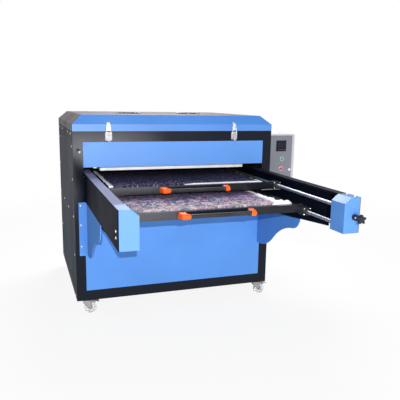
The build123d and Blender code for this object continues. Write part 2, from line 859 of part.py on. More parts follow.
def build_door():
    """Control box door: flat face with a folded rim and openings for what it carries."""
    through = (door_face - 1, door_face + sheet + 1)
    rim_x = (door_left + door_rim_inset, door_right - door_rim_inset)
    rim_z = (door_bottom + door_rim_inset, door_top - door_rim_inset)
    rim = block(rim_x, (door_face, door_face + door_rim), rim_z)
    hollow_x = (rim_x[0] + sheet, rim_x[1] - sheet)
    hollow_z = (rim_z[0] + sheet, rim_z[1] - sheet)
    rim -= block(hollow_x, (door_face, door_face + door_rim + 1), hollow_z)
    door = block((door_left, door_right), (door_face, door_face + sheet), (door_bottom, door_top)) + rim
    door -= Pos(controller_x, door_face, controller_z) * Box(controller_body, 3 * sheet, controller_body)
    for z in (start_z, stop_z):
        door -= rod_along("Y", bezel_thread, (button_x, z), through)
    door -= rod_along("Y", lock_barrel_radius, (lock_x, lock_z), through)
    axis = (door_axis_x, door_axis_y)
    for low in door_knuckle_zs:
        span = (low, low + door_knuckle_length)
        bore = rod_along("Z", door_pin + running_clearance, axis, (low, span[1] + 1))
        strap = block((door_axis_x, door_left + 8), (door_face - 1.5, door_face), span)
        door += (rod_along("Z", door_knuckle, axis, span) + strap) - bore
    return door


def build_controller():
    """Square panel controller: bezel, sunk window, keys row and the body behind the door."""
    centre = Pos(controller_x, door_face, controller_z)
    bezel = Pos(0, -controller_bezel / 2, 0) * Box(controller_size, controller_bezel, controller_size)
    bezel = chamfer(bezel.faces().sort_by(Axis.Y)[0].edges(), 2)
    bezel -= Pos(0, -controller_bezel, window_rise) * Box(window_size[0], 3, window_size[1])
    for step in (-1.5, -0.5, 0.5, 1.5):
        bezel += Pos(step * key_pitch, -controller_bezel, -key_drop) * Box(key_size[0], 2, key_size[1])
    body = Pos(0, controller_depth / 2, 0) * Box(controller_body, controller_depth, controller_body)
    return centre * (bezel + body)


def build_button_bezels():
    """Metal bezels with their threaded barrels through the door."""
    solids = []
    for z in (start_z, stop_z):
        ring = rod_along("Y", bezel_radius, (button_x, z), (door_face - bezel_front, door_face))
        ring = chamfer(ring.faces().sort_by(Axis.Y)[0].edges(), 1.5)
        ring += rod_along("Y", bezel_thread, (button_x, z), (door_face, door_face + bezel_back))
        hollow_y = (door_face - 2 * bezel_front, door_face + bezel_back - button_back)
        ring -= rod_along("Y", button_radius, (button_x, z), hollow_y)
        solids.append(ring)
    return solids


def build_button(z):
    span = (door_face - button_front, door_face + button_back)
    cap = rod_along("Y", button_radius - running_clearance, (button_x, z), span)
    return chamfer(cap.faces().sort_by(Axis.Y)[0].edges(), 1.5)


def build_door_lock():
    """Cam lock: slotted head, barrel through the door and a cam that hangs down when unlocked."""
    place = (lock_x, lock_z)
    back = door_face + lock_barrel_back
    head = rod_along("Y", lock_head_radius, place, (door_face - lock_head_front, door_face))
    head -= Pos(lock_x, door_face - lock_head_front, lock_z) * Box(2, 4, lock_head_radius)
    barrel = rod_along("Y", lock_barrel_radius - running_clearance, place, (door_face, back))
    cam_place = Pos(lock_x, back - cam_sheet / 2, lock_z - cam_length / 2 + cam_width / 2 + 0.5)
    return head + barrel + cam_place * Box(cam_width, cam_sheet, cam_length)


def build_latch_base(x):
    """Latch plate with two round-nosed ears and the lever's pin."""
    plate_x = (x - latch_plate_half, x + latch_plate_half)
    plate = block(plate_x, (-sheet, 0), (latch_plate_low, latch_plate_high))
    base = chamfer(plate.edges().filter_by(Axis.Y), 4)
    pivot = (latch_pivot_y, latch_pivot_z)
    for side in (-1, 1):
        ear_x = sorted((x + side * ear_inner, x + side * ear_outer))
        base += rod_along("X", ear_radius, pivot, ear_x)
        base += block(ear_x, (latch_pivot_y, -sheet), (latch_pivot_z - ear_drop, latch_pivot_z))
    return base + rod_along("X", latch_pin, pivot, (x - lever_half + 0.1, x + lever_half - 0.1))


def build_latch_lever(x):
    """Folded lever: front web, two cheeks on the pin and a turned-out finger tab."""
    web_y = (-lever_front, lever_sheet - lever_front)
    web = block((x - lever_half, x + lever_half), web_y, (lever_low, latch_pivot_z + 1))
    lever = chamfer(web.edges().filter_by(Axis.Y), 1)
    tab = Rot(-tab_angle, 0, 0) * Box(tab_size[0], lever_sheet, tab_size[1])
    lever += Pos(x, -lever_front - lever_sheet, lever_low - 3) * tab
    pivot = (latch_pivot_y, latch_pivot_z)
    loop_z = latch_pivot_z - latch_throw
    for side in (-1, 1):
        cheek_x = sorted((x + side * (lever_half - lever_sheet), x + side * lever_half))
        lever += block(cheek_x, (1 - lever_front, -lever_cheek_back), (loop_z - 5, latch_pivot_z))
        lever += rod_along("X", lever_hub, pivot, cheek_x)
    through = (x - lever_half - 1, x + lever_half + 1)
    lever -= rod_along("X", latch_pin + running_clearance, pivot, through)
    return lever - rod_along("X", loop_wire + running_clearance, (latch_pivot_y, loop_z), through)


def build_latch_loop(x):
    """Wire loop: two legs that hook into the lever's cheeks and a bar across the top."""
    low = latch_pivot_z - latch_throw
    high = low + loop_length
    route = FilletPolyline(
        (x - loop_end, latch_pivot_y, low),
        (x - loop_half, latch_pivot_y, low),
        (x - loop_half, latch_pivot_y, high),
        (x + loop_half, latch_pivot_y, high),
        (x + loop_half, latch_pivot_y, low),
        (x + loop_end, latch_pivot_y, low),
        radius=loop_bend,
    )
    start = Plane(route @ 0, z_dir=route % 0)
    return sweep(start * Circle(loop_wire), path=route)


def build_latch_catch(x):
    """Hooked catch plate on the lid's flange, its tail folded back along the slope."""
    fold = frame_top + lid_flange
    hook_x = (x - hook_half, x + hook_half)
    plate = block((x - catch_half, x + catch_half), (-catch_sheet, 0), (catch_low, fold))
    shelf = block(hook_x, (-hook_reach, -1), (hook_low, hook_low + catch_sheet))
    lip = block(hook_x, (-hook_reach, catch_sheet - hook_reach), (hook_low, hook_high))
    slope = sqrt(lid_inset ** 2 + (lid_top - fold) ** 2)
    run = lid_inset / slope
    rise = (lid_top - fold) / slope
    tail_run = catch_tail * run
    tail_rise = catch_tail * rise
    lift = 0.1
    tail = Plane.YZ * Polyline(
        (0, fold - 4),
        (0, fold + lift),
        (tail_run, fold + lift + tail_rise),
        (tail_run - catch_sheet * rise, fold + lift + tail_rise + catch_sheet * run),
        (-catch_sheet, fold + 0.6),
        (-catch_sheet, fold - 4),
        close=True,
    )
    return plate + shelf + lip + Pos(x - catch_half, 0, 0) * extrude(make_face(tail), 2 * catch_half)


def build_knob():
    """Star knob with five tapered points, its long neck and the stud that enters the cap."""
    star = Circle(knob_core)
    for turn in range(knob_lobes):
        point = make_hull([
            *(Pos(knob_tip_place, 0) * Circle(knob_tip)).edges(),
            *Circle(knob_waist).edges(),
        ])
        star += Rot(0, 0, 90 + turn * 360 / knob_lobes) * point
    head = extrude(star, knob_height)
    head = chamfer(head.faces().sort_by(Axis.Z)[-1].edges(), 1.5)
    back = knob_front + knob_height
    knob = Pos(knob_x, back, knob_z) * Rot(90, 0, 0) * head
    knob += rod_along("Y", knob_neck_radius, (knob_x, knob_z), (back, -arm_reach - knob_neck_gap))
    stud_y = (-arm_reach - knob_neck_gap, knob_stud_depth - arm_reach)
    return knob + rod_along("Y", knob_stud, (knob_x, knob_z), stud_y)


def caster_stem(name):
    side_x = -1 if name.endswith("left") else 1
    y = caster_inset_y if name.startswith("front") else cabinet_depth - caster_inset_y
    return side_x * caster_x, y


def build_caster_plates():
    """Fixed caster plates with the upper swivel race and the king pin."""
    plates = []
    length, width, thickness = caster_plate
    under = frame_bottom - thickness
    for name in caster_turn:
        x, y = caster_stem(name)
        plate = Pos(x, y, frame_bottom - thickness / 2) * Box(length, width, thickness)
        plate = chamfer(plate.edges().filter_by(Axis.Z), 6)
        race = rod_along("Z", race_radius, (x, y), (under - race_height, under))
        plates.append(plate + race + rod_along("Z", king_pin, (x, y), (fork_top - 10, under)))
    return plates


def build_fork(braked):
    """Caster fork about its stem: swivel race, two tapered cheeks and the axle; ears if it brakes."""
    shoulder = fork_top - fork_race_height
    outline = Polyline(
        (-fork_rear, shoulder),
        (fork_front, shoulder),
        (caster_trail + fork_shoulder, wheel_radius + 8),
        (caster_trail + fork_eye, wheel_radius - fork_eye),
        (caster_trail - fork_eye, wheel_radius - fork_eye),
        (-fork_rear, shoulder - fork_shoulder),
        close=True,
    )
    width = 2 * (fork_inner + fork_sheet)
    fork = Pos(2, 0, shoulder - fork_sheet / 2) * Box(fork_crown_length, width, fork_sheet)
    fork += Pos(0, 0, fork_top - fork_race_height / 2) * Cylinder(fork_race_radius, fork_race_height)
    for side in (-1, 1):
        cheek = extrude(Plane.XZ * make_face(outline), fork_sheet)
        fork += Pos(0, side * (fork_inner + fork_sheet / 2) + fork_sheet / 2, 0) * cheek
    fork -= Pos(0, 0, fork_top) * Cylinder(king_pin + running_clearance, 4 * fork_race_height)
    fork += Pos(caster_trail, 0, wheel_radius) * Rot(90, 0, 0) * Cylinder(axle_radius, axle_length)
    if braked:
        ear_x = caster_trail + fork_shoulder
        ears = Pos(ear_x, 0, pedal_pivot_z) * Box(ear_length, width, ear_height)
        ears -= Pos(ear_x, 0, pedal_pivot_z) * Box(ear_length + 1, 2 * fork_inner, 2 * ear_height)
        pin = Pos(caster_trail + pedal_reach, 0, pedal_pivot_z) * Rot(90, 0, 0) * Cylinder(pedal_pin, width - 1)
        fork += ears + pin
    return fork


def build_wheel():
    """Caster wheel about its axle: crowned tread, dished sides and a hub bored for the axle."""
    half = wheel_width / 2
    bore = axle_radius + running_clearance
    side = [
        (wheel_radius - crown_drop, half - tread_edge),
        (wheel_radius - tread_edge, half),
        (dish_outer, half),
        (dish_inner, half - tread_edge),
        (hub_outer, half - tread_edge),
        (hub_inner, half + hub_proud),
        (bore, half + hub_proud),
    ]
    other_side = [(radius, -height) for radius, height in reversed(side)]
    profile = Polyline(*other_side, (wheel_radius, 0), *side, close=True)
    return revolve(Plane.XZ * make_face(profile), Axis.Z)


def build_pedal():
    """Brake pedal about the caster stem: a hub on the ears' pin and a foot plate over the wheel."""
    x = caster_trail + pedal_reach
    hub = Pos(x, 0, pedal_pivot_z) * Rot(90, 0, 0) * Cylinder(pedal_hub, pedal_width)
    foot = Box(pedal_length, pedal_width, pedal_sheet)
    pedal = hub + Pos(x + 14, 0, pedal_pivot_z + 3) * Rot(0, pedal_tilt, 0) * foot
    bore = Cylinder(pedal_pin + running_clearance, pedal_width + 1)
    return pedal - Pos(x, 0, pedal_pivot_z) * Rot(90, 0, 0) * bore


def caster_place(name):
    x, y = caster_stem(name)
    return Pos(x, y, 0) * Rot(0, 0, caster_turn[name])


def build_air_valve():
    """Valve block inside the back with its inlet port through the rear panel."""
    place = (inlet_x, inlet_z)
    back = valve_front + valve_body[1]
    body = Pos(inlet_x, valve_front + valve_body[1] / 2, inlet_z) * Box(*valve_body)
    coil_z = inlet_z + (valve_body[2] + coil_size[2]) / 2
    coil = Pos(inlet_x, valve_front + 5 + coil_size[1] / 2, coil_z) * Box(*coil_size)
    port = rod_along("Y", inlet_port, place, (back, inlet_end - inlet_collar))
    nut = Rot(90, 0, 0) * RegularPolygon(inlet_port + 2, 6)
    collar = Pos(inlet_x, inlet_end, inlet_z) * extrude(nut, inlet_collar)
    bore = rod_along("Y", inlet_core, place, (inlet_end - inlet_depth, inlet_end + 1))
    return body + coil + port + collar - bore


def build_cable_gland():
    """Cable gland under the control box: lock nut inside, hexagon and domed nut outside."""
    place = (gland_x, gland_y)
    outer_low = box_bottom - 6
    thread = rod_along("Z", gland_thread - running_clearance, place, (box_bottom - 2, box_bottom + 10))
    inner = Pos(*place, box_bottom + sheet) * extrude(RegularPolygon(gland_hexagon, 6), 5)
    outer = Pos(*place, outer_low) * extrude(RegularPolygon(gland_hexagon, 6), box_bottom - outer_low)
    dome = rod_along("Z", gland_dome, place, (box_bottom - gland_drop, outer_low))
    dome = fillet(dome.faces().sort_by(Axis.Z)[0].edges(), 4)
    bore = rod_along("Z", gland_bore, place, (box_bottom - gland_drop - 1, box_bottom + gland_drop))
    return thread + inner + outer + dome - bore


def build_trays():
    nodes = {}
    levels = {
        "upper": (upper_front, upper_base, upper_rod_z, upper_base),
        "lower": (lower_front, lower_base, lower_rod_z, None),
    }
    for name, (front, base, rod_z, plate_z) in levels.items():
        nodes[name + "_tray"] = build_tray(front, base)
        nodes[name + "_felt"] = build_felt(front, base)
        nodes[name + "_cloth"] = build_cloth(front, base)
        nodes[name + "_slide_blocks"] = build_slide_blocks(front, rod_z, plate_z)
        nodes[name + "_handle"] = build_handle(front, base)
    return nodes


def build_casters():
    nodes = {"caster_plates": build_caster_plates()}
    axle = Pos(caster_trail, 0, wheel_radius) * Rot(90, 0, 0)
    for name in caster_turn:
        braked = name.startswith("front")
        place = caster_place(name)
        nodes["caster_fork_" + name] = place * build_fork(braked)
        nodes["caster_wheel_" + name] = place * axle * build_wheel()
        if braked:
            nodes["brake_pedal_" + name] = place * build_pedal()
    return nodes


def build_nodes():
    arm = build_arm()
    cap = build_arm_cap()
    bracket = build_bracket()
    hole_y = (-arm_reach - 1, cap_wall + 1 - arm_reach)
    knob_hole = rod_along("Y", knob_stud + running_clearance, (knob_x, knob_z), hole_y)
    nodes = {
        "frame": build_frame(),
        **build_panels(),
        **build_lid(),
        "lid_hinges": build_lid_hinges(),
        "fan_guards": build_fan_guards(),
        "impeller_left": build_impeller(-1),
        "impeller_right": build_impeller(1),
        "arm_right": arm,
        "arm_left": mirrored(arm),
        "arm_caps": [mirrored(cap), cap - knob_hole],
        "arm_brackets": [mirrored(bracket), bracket],
        "slide_rods": build_slide_rods(),
        **build_trays(),
        "heat_platen": build_platen(),
        "platen_casing": build_platen_casing(),
        "piston_rods": build_piston_rods(),
        "air_cylinders": build_cylinders(),
        "press_beams": build_press_beams(),
        "press_bed": build_press_bed(),
        "control_box": build_control_box(),
        "control_door": build_door(),
        "temperature_controller": build_controller(),
        "button_bezels": build_button_bezels(),
        "start_button": build_button(start_z),
        "stop_button": build_button(stop_z),
        "door_lock": build_door_lock(),
        "latch_bases": [build_latch_base(x) for x in latch_xs.values()],
        "latch_catches": [build_latch_catch(x) for x in latch_xs.values()],
        "star_knob": build_knob(),
        **build_casters(),
        "air_valve": build_air_valve(),
        "cable_gland": build_cable_gland(),
    }
    for side, x in latch_xs.items():
        nodes["latch_lever_" + side] = build_latch_lever(x)
        nodes["latch_loop_" + side] = build_latch_loop(x)
    return nodes


def solids_of(part):
    if isinstance(part, list):
        return [solid for item in part for solid in item.solids()]
    return list(part.solids())


def write_nodes():
    os.makedirs("parts", exist_ok=True)
    shift = Location((-row_origin[0], -row_origin[1], -row_origin[2]))
    for name, part in build_nodes().items():
        solids = [shift * solid for solid in solids_of(part)]
        shape = solids[0] if len(solids) == 1 else Compound(solids)
        export_step(shape, "parts/" + name + ".step")
        print(name, len(solids))


write_nodes()
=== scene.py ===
"""Looks of the pneumatic heat press: finishes, pads, cloths and small fasteners."""

from math import cos, pi, sin

import bmesh
import bpy
from mathutils import Matrix, Vector, noise


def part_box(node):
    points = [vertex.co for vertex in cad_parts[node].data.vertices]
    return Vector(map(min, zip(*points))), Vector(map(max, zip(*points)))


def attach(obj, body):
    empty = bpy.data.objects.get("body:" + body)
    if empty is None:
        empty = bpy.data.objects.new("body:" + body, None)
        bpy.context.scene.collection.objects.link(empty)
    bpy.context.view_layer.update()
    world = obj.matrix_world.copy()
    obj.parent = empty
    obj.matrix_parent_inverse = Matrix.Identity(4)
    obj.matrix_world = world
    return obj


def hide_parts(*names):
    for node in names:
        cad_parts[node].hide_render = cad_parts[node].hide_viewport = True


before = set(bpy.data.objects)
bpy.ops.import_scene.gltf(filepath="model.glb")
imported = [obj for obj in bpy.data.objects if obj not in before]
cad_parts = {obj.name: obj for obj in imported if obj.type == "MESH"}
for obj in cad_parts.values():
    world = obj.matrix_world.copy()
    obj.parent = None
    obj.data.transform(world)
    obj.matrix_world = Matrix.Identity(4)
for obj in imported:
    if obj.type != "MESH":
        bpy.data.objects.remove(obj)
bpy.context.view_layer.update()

MM = 0.001
frame_low, frame_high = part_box("frame")
MIDDLE_X = (frame_low.x + frame_high.x) / 2
FACE_Y = frame_low.y


def at(x, y, z):
    """A point given in millimetres from the cabinet's middle, its front face and the floor."""
    return Vector((MIDDLE_X + x * MM, FACE_Y + y * MM, z * MM))


def reach(node, axis):
    """Where a node starts and ends along an axis, in the millimetres that at() takes."""
    origin = {"x": MIDDLE_X, "y": FACE_Y, "z": 0.0}[axis]
    return [round((getattr(corner, axis) - origin) / MM, 3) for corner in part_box(node)]


def middle(node, axis):
    return sum(reach(node, axis)) / 2


# Camera, solved from the cabinet's straight edges, with angles in radians and the lens in millimetres
CAMERA_PLACE = at(-940.0, -3098.3, 1335.9)
CAMERA_YAW = 0.3388
CAMERA_PITCH = -0.189
CAMERA_ROLL = 0.0166
CAMERA_LENS = 46.04
SENSOR_WIDTH = 36.0
SIGHT_RANGE = 100.0


def build_camera():
    forward = Vector((
        sin(CAMERA_YAW) * cos(CAMERA_PITCH),
        cos(CAMERA_YAW) * cos(CAMERA_PITCH),
        sin(CAMERA_PITCH),
    ))
    level = Vector((cos(CAMERA_YAW), -sin(CAMERA_YAW), 0.0))
    over = level.cross(forward)
    right = level * cos(CAMERA_ROLL) + over * sin(CAMERA_ROLL)
    up = over * cos(CAMERA_ROLL) - level * sin(CAMERA_ROLL)
    data = bpy.data.cameras.new("camera")
    data.lens = CAMERA_LENS
    data.sensor_width = SENSOR_WIDTH
    data.clip_end = SIGHT_RANGE
    camera = bpy.data.objects.new("camera", data)
    bpy.context.scene.collection.objects.link(camera)
    turn = Matrix((right, up, -forward)).transposed().to_4x4()
    camera.matrix_world = Matrix.Translation(CAMERA_PLACE) @ turn
    bpy.context.scene.camera = camera


def build_light(name, place, target, size, watts, colour=(1.0, 1.0, 1.0)):
    """An area light: a round one for a single size, a rectangle for a width and a height."""
    data = bpy.data.lights.new(name, "AREA")
    if isinstance(size, tuple):
        data.shape = "RECTANGLE"
        data.size, data.size_y = size
    else:
        data.shape = "DISK"
        data.size = size
    data.energy = watts
    data.color = colour
    lamp = bpy.data.objects.new(name, data)
    bpy.context.scene.collection.objects.link(lamp)
    lamp.visible_camera = False
    lamp.location = place
    lamp.rotation_euler = (target - place).to_track_quat("-Z", "Y").to_euler()


def looked_at(nodes, links):
    """One for rays from the camera, off glossy surfaces and through glass, zero for all others."""
    path = nodes.new("ShaderNodeLightPath")
    glossy = nodes.new("ShaderNodeMath")
    either = nodes.new("ShaderNodeMath")
    for node in (glossy, either):
        node.operation = "MAXIMUM"
    links.new(path.outputs["Is Camera Ray"], glossy.inputs[0])
    links.new(path.outputs["Is Glossy Ray"], glossy.inputs[1])
    links.new(glossy.outputs[0], either.inputs[0])
    links.new(path.outputs["Is Transmission Ray"], either.inputs[1])
    return either.outputs[0]


AMBIENT_STRENGTH = 0.28
AMBIENT_TINT = (0.96, 0.98, 1.0)
WHITE = (1.0, 1.0, 1.0, 1.0)


def build_world():
    """A white surround that the camera and glossy surfaces see, and a dimmer one that lights the object."""
    world = bpy.data.worlds.new("studio")
    bpy.context.scene.world = world
    world.use_nodes = True
    nodes = world.node_tree.nodes
    links = world.node_tree.links
    nodes.clear()
    seen_by = looked_at(nodes, links)
    seen = nodes.new("ShaderNodeBackground")
    lit = nodes.new("ShaderNodeBackground")
    seen.inputs["Strength"].default_value = 1.0
    seen.inputs["Color"].default_value = WHITE
    lit.inputs["Strength"].default_value = AMBIENT_STRENGTH
    lit.inputs["Color"].default_value = (*AMBIENT_TINT, 1.0)
    mix = nodes.new("ShaderNodeMixShader")
    out = nodes.new("ShaderNodeOutputWorld")
    links.new(seen_by, mix.inputs[0])
    links.new(lit.outputs[0], mix.inputs[1])
    links.new(seen.outputs[0], mix.inputs[2])
    links.new(mix.outputs[0], out.inputs["Surface"])


FLOOR_SIZE = 60.0
PAPER_TONE = (0.86, 0.86, 0.87)
SHADOW_REACH = (1.2, 5.0)  # metres from the machine's middle between which the paper turns white
NEAR_WHITE = 0.88


def build_floor():
    """Pale paper that keeps the shadow near the machine and fades to white further out."""
    bpy.ops.mesh.primitive_plane_add(size=FLOOR_SIZE, location=(0.0, 0.0, 0.0))
    floor = bpy.context.object
    floor.name = "studio_floor"
    material = bpy.data.materials.new("floor_paper")
    material.use_nodes = True
    nodes = material.node_tree.nodes
    links = material.node_tree.links
    nodes.clear()
    glow = nodes.new("ShaderNodeEmission")
    glow.inputs["Strength"].default_value = 1.0
    paper = nodes.new("ShaderNodeBsdfDiffuse")
    paper.inputs["Color"].default_value = (*PAPER_TONE, 1.0)
    spot = nodes.new("ShaderNodeTexCoord")
    away = nodes.new("ShaderNodeVectorMath")
    away.operation = "LENGTH"
    fade = nodes.new("ShaderNodeMapRange")
    fade.interpolation_type = "SMOOTHSTEP"
    fade.inputs["From Min"].default_value, fade.inputs["From Max"].default_value = SHADOW_REACH
    fade.inputs["To Min"].default_value = NEAR_WHITE
    fade.inputs["To Max"].default_value = 1.0
    share = nodes.new("ShaderNodeMath")
    share.operation = "MULTIPLY"
    mix = nodes.new("ShaderNodeMixShader")
    out = nodes.new("ShaderNodeOutputMaterial")
    links.new(spot.outputs["Object"], away.inputs[0])
    links.new(away.outputs["Value"], fade.inputs["Value"])
    links.new(looked_at(nodes, links), share.inputs[0])
    links.new(fade.outputs["Result"], share.inputs[1])
    links.new(share.outputs[0], mix.inputs[0])
    links.new(paper.outputs[0], mix.inputs[1])
    links.new(glow.outputs[0], mix.inputs[2])
    links.new(mix.outputs[0], out.inputs["Surface"])
    floor.data.materials.append(material)


MIX_COLOURS = (6, 7)  # sockets of the Mix node when it mixes colours
MIX_RESULT = 2


class Finish:
    """A material on one Principled shader, with helpers for the nodes that vary it."""

    def __init__(self, name, colour, roughness, metallic=0.0):
        self.material = bpy.data.materials.new(name)
        self.material.use_nodes = True
        self.nodes = self.material.node_tree.nodes
        self.links = self.material.node_tree.links
        self.shader = self.nodes["Principled BSDF"]
        self.shader.inputs["Base Color"].default_value = (*colour, 1.0)
        self.shader.inputs["Roughness"].default_value = roughness
        self.shader.inputs["Metallic"].default_value = metallic
        self.colour = colour
        self.roughness = roughness
        self.place = self.nodes.new("ShaderNodeTexCoord").outputs["Object"]
        self.bump_height = None

    def set(self, socket, value):
        self.shader.inputs[socket].default_value = value
        return self

    def noise(self, scale, detail=4.0, stretch=None):
        texture = self.nodes.new("ShaderNodeTexNoise")
        texture.inputs["Scale"].default_value = scale
        texture.inputs["Detail"].default_value = detail
        self.links.new(self.stretched(stretch), texture.inputs["Vector"])
        return texture.outputs["Fac"]

    def axis(self, name):
        """One coordinate of the point that is shaded, in metres."""
        split = self.nodes.new("ShaderNodeSeparateXYZ")
        self.links.new(self.place, split.inputs[0])
        return split.outputs[name]

    def cells(self, scale, output="Color"):
        texture = self.nodes.new("ShaderNodeTexVoronoi")
        texture.inputs["Scale"].default_value = scale
        self.links.new(self.place, texture.inputs["Vector"])
        return texture.outputs[output]

    def stretched(self, stretch):
        if stretch is None:
            return self.place
        mapping = self.nodes.new("ShaderNodeMapping")
        mapping.inputs["Scale"].default_value = stretch
        self.links.new(self.place, mapping.inputs["Vector"])
        return mapping.outputs["Vector"]

    def spread(self, value, low, high, start=0.3, end=0.7):
        """Maps a value from between start and end onto the range from low to high."""
        node = self.nodes.new("ShaderNodeMapRange")
        node.inputs["From Min"].default_value = start
        node.inputs["From Max"].default_value = end
        node.inputs["To Min"].default_value = low
        node.inputs["To Max"].default_value = high
        self.links.new(value, node.inputs["Value"])
        return node.outputs["Result"]

    def math(self, operation, first, second):
        node = self.nodes.new("ShaderNodeMath")
        node.operation = operation
        for socket, value in zip(node.inputs, (first, second)):
            if isinstance(value, (int, float)):
                socket.default_value = value
            else:
                self.links.new(value, socket)
        return node.outputs[0]

    def facing(self, name):
        """How much the surface faces along an axis, from -1 to 1."""
        geometry = self.nodes.new("ShaderNodeNewGeometry")
        split = self.nodes.new("ShaderNodeSeparateXYZ")
        self.links.new(geometry.outputs["Normal"], split.inputs[0])
        return split.outputs[name]

    def upward(self):
        """One on surfaces that face up, zero on the others."""
        return self.spread(self.facing("Z"), 0.0, 1.0, start=0.4, end=0.95)

    def blend(self, share, first, second):
        """Mixes two colours, given as values or sockets, by a share from 0 to 1."""
        node = self.nodes.new("ShaderNodeMix")
        node.data_type = "RGBA"
        for index, value in zip(MIX_COLOURS, (first, second)):
            if isinstance(value, tuple):
                node.inputs[index].default_value = (*value, 1.0)
            else:
                self.links.new(value, node.inputs[index])
        self.links.new(share, node.inputs[0])
        return node.outputs[MIX_RESULT]

    def paint(self, colour):
        self.links.new(colour, self.shader.inputs["Base Color"])
        return self

    def gloss(self, roughness):
        self.links.new(roughness, self.shader.inputs["Roughness"])
        return self

    def bump(self, height, strength, distance):
        node = self.nodes.new("ShaderNodeBump")
        node.inputs["Strength"].default_value = strength
        node.inputs["Distance"].default_value = distance
        self.links.new(height, node.inputs["Height"])
        if self.bump_height is not None:
            self.links.new(self.bump_height, node.inputs["Normal"])
        self.bump_height = node.outputs["Normal"]
        self.links.new(self.bump_height, self.shader.inputs["Normal"])
        return self


def shaded(colour, factor):
    return tuple(min(1.0, channel * factor) for channel in colour)


DUST = (0.45, 0.43, 0.42)
FOOT_FADE = (0.25, 0.95)  # heights in metres


def powder_coat(name, colour, roughness, dust=0.12, top=DUST, shine=0.5, foot=None, dust_and_painted_light_film=0.0, flanks=0.0):
    """Powder coat with fine orange peel and cloudy gloss.

    The top tone lies on what faces up, in an even layer and in specks of dust. A thin layer is dust, while a
    strong one is painted sheen with a pale tone and painted shade with a deep one. Foot is the tone near the
    floor, and flanks is the roughness that wear adds to what faces left or right.
    """
    finish = Finish(name, colour, roughness)
    finish.set("Specular IOR Level", shine)
    cloud = finish.noise(scale=3.0, detail=5.0)
    specks = finish.noise(scale=60.0, detail=6.0)
    body = finish.blend(finish.spread(cloud, 0.0, 1.0), shaded(colour, 0.93), shaded(colour, 1.06))
    if foot is not None:
        height = finish.spread(finish.axis("Z"), 0.0, 1.0, start=FOOT_FADE[0], end=FOOT_FADE[1])
        body = finish.blend(height, foot, body)
    # On upward faces the top tone stands for dust specks and, where the even cover is strong, for painted
    # sheen and painted shade
    cover = finish.spread(specks, dust_and_painted_light_film, dust_and_painted_light_film + dust, start=0.35, end=0.75)
    dust_and_painted_light = finish.math("MULTIPLY", finish.upward(), cover)
    finish.paint(finish.blend(dust_and_painted_light, body, top))
    gloss = finish.spread(cloud, roughness - 0.05, roughness + 0.07)
    if flanks:
        sideways = finish.math("MULTIPLY", finish.facing("X"), finish.facing("X"))
        gloss = finish.math("ADD", gloss, finish.spread(sideways, 0.0, flanks, start=0.5, end=0.9))
    finish.gloss(gloss)
    finish.bump(finish.noise(scale=700.0, detail=2.0), strength=0.10, distance=0.0004)
    return finish.material


def bare_metal(name, colour, roughness, stretch=(1.0, 1.0, 1.0), scale=400.0, strength=0.08, metallic=1.0):
    """Bare metal with brushed or turned lines along the axis that is stretched least."""
    finish = Finish(name, colour, roughness, metallic)
    lines = finish.noise(scale, detail=3.0, stretch=stretch)
    stain = finish.noise(scale=12.0, detail=5.0)
    finish.paint(finish.blend(finish.spread(stain, 0.0, 1.0), shaded(colour, 0.85), shaded(colour, 1.08)))
    finish.gloss(finish.spread(lines, roughness - 0.08, roughness + 0.12))
    finish.bump(lines, strength, distance=0.0003)
    return finish.material


def moulded(name, colour, roughness, shine=0.4):
    """Moulded plastic with a fine eroded texture."""
    finish = Finish(name, colour, roughness)
    finish.set("Specular IOR Level", shine)
    cloud = finish.noise(scale=15.0, detail=4.0)
    finish.paint(finish.blend(finish.spread(cloud, 0.0, 1.0), shaded(colour, 0.88), shaded(colour, 1.08)))
    finish.gloss(finish.spread(finish.noise(scale=40.0, detail=3.0), roughness - 0.06, roughness + 0.08))
    finish.bump(finish.noise(scale=300.0, detail=3.0), strength=0.15, distance=0.0003)
    return finish.material


DARK_TUBE = ((0.022, 0.022, 0.026), (0.040, 0.039, 0.043))
ORANGE = ((0.86, 0.10, 0.010), (0.97, 0.155, 0.020))
# Where the orange ends begin, in millimetres from the middle
HANDLE_LEFT_END = 156.0
HANDLE_RIGHT_END = 174.0


def two_part_handle(name):
    """Dark tube between two moulded orange ends, told apart by the distance from the tray's middle."""
    finish = Finish(name, (0.03, 0.03, 0.034), 0.4)
    finish.set("Specular IOR Level", 0.15)
    across = finish.math("SUBTRACT", finish.axis("X"), MIDDLE_X)
    left = finish.math("LESS_THAN", across, -HANDLE_LEFT_END * MM)
    end = finish.math("MAXIMUM", left, finish.math("GREATER_THAN", across, HANDLE_RIGHT_END * MM))
    cloud = finish.spread(finish.noise(scale=15.0, detail=4.0), 0.0, 1.0)
    tube = finish.blend(cloud, *DARK_TUBE)
    plastic = finish.blend(cloud, *ORANGE)
    finish.paint(finish.blend(end, tube, plastic))
    finish.gloss(finish.spread(finish.noise(scale=40.0, detail=3.0), 0.34, 0.48))
    finish.bump(finish.noise(scale=300.0, detail=3.0), strength=0.15, distance=0.0003)
    return finish.material


def translucent_tyre(name):
    """Milky polyurethane that lets some light through, with faint clouds."""
    finish = Finish(name, (0.94, 0.94, 0.93), 0.22)
    finish.set("Transmission Weight", 0.6)
    finish.set("IOR", 1.45)
    finish.set("Subsurface Weight", 0.2)
    cloud = finish.noise(scale=30.0, detail=4.0)
    finish.paint(finish.blend(finish.spread(cloud, 0.0, 1.0), (0.90, 0.90, 0.89), (0.98, 0.98, 0.98)))
    finish.bump(finish.noise(scale=260.0, detail=3.0), strength=0.12, distance=0.0003)
    return finish.material


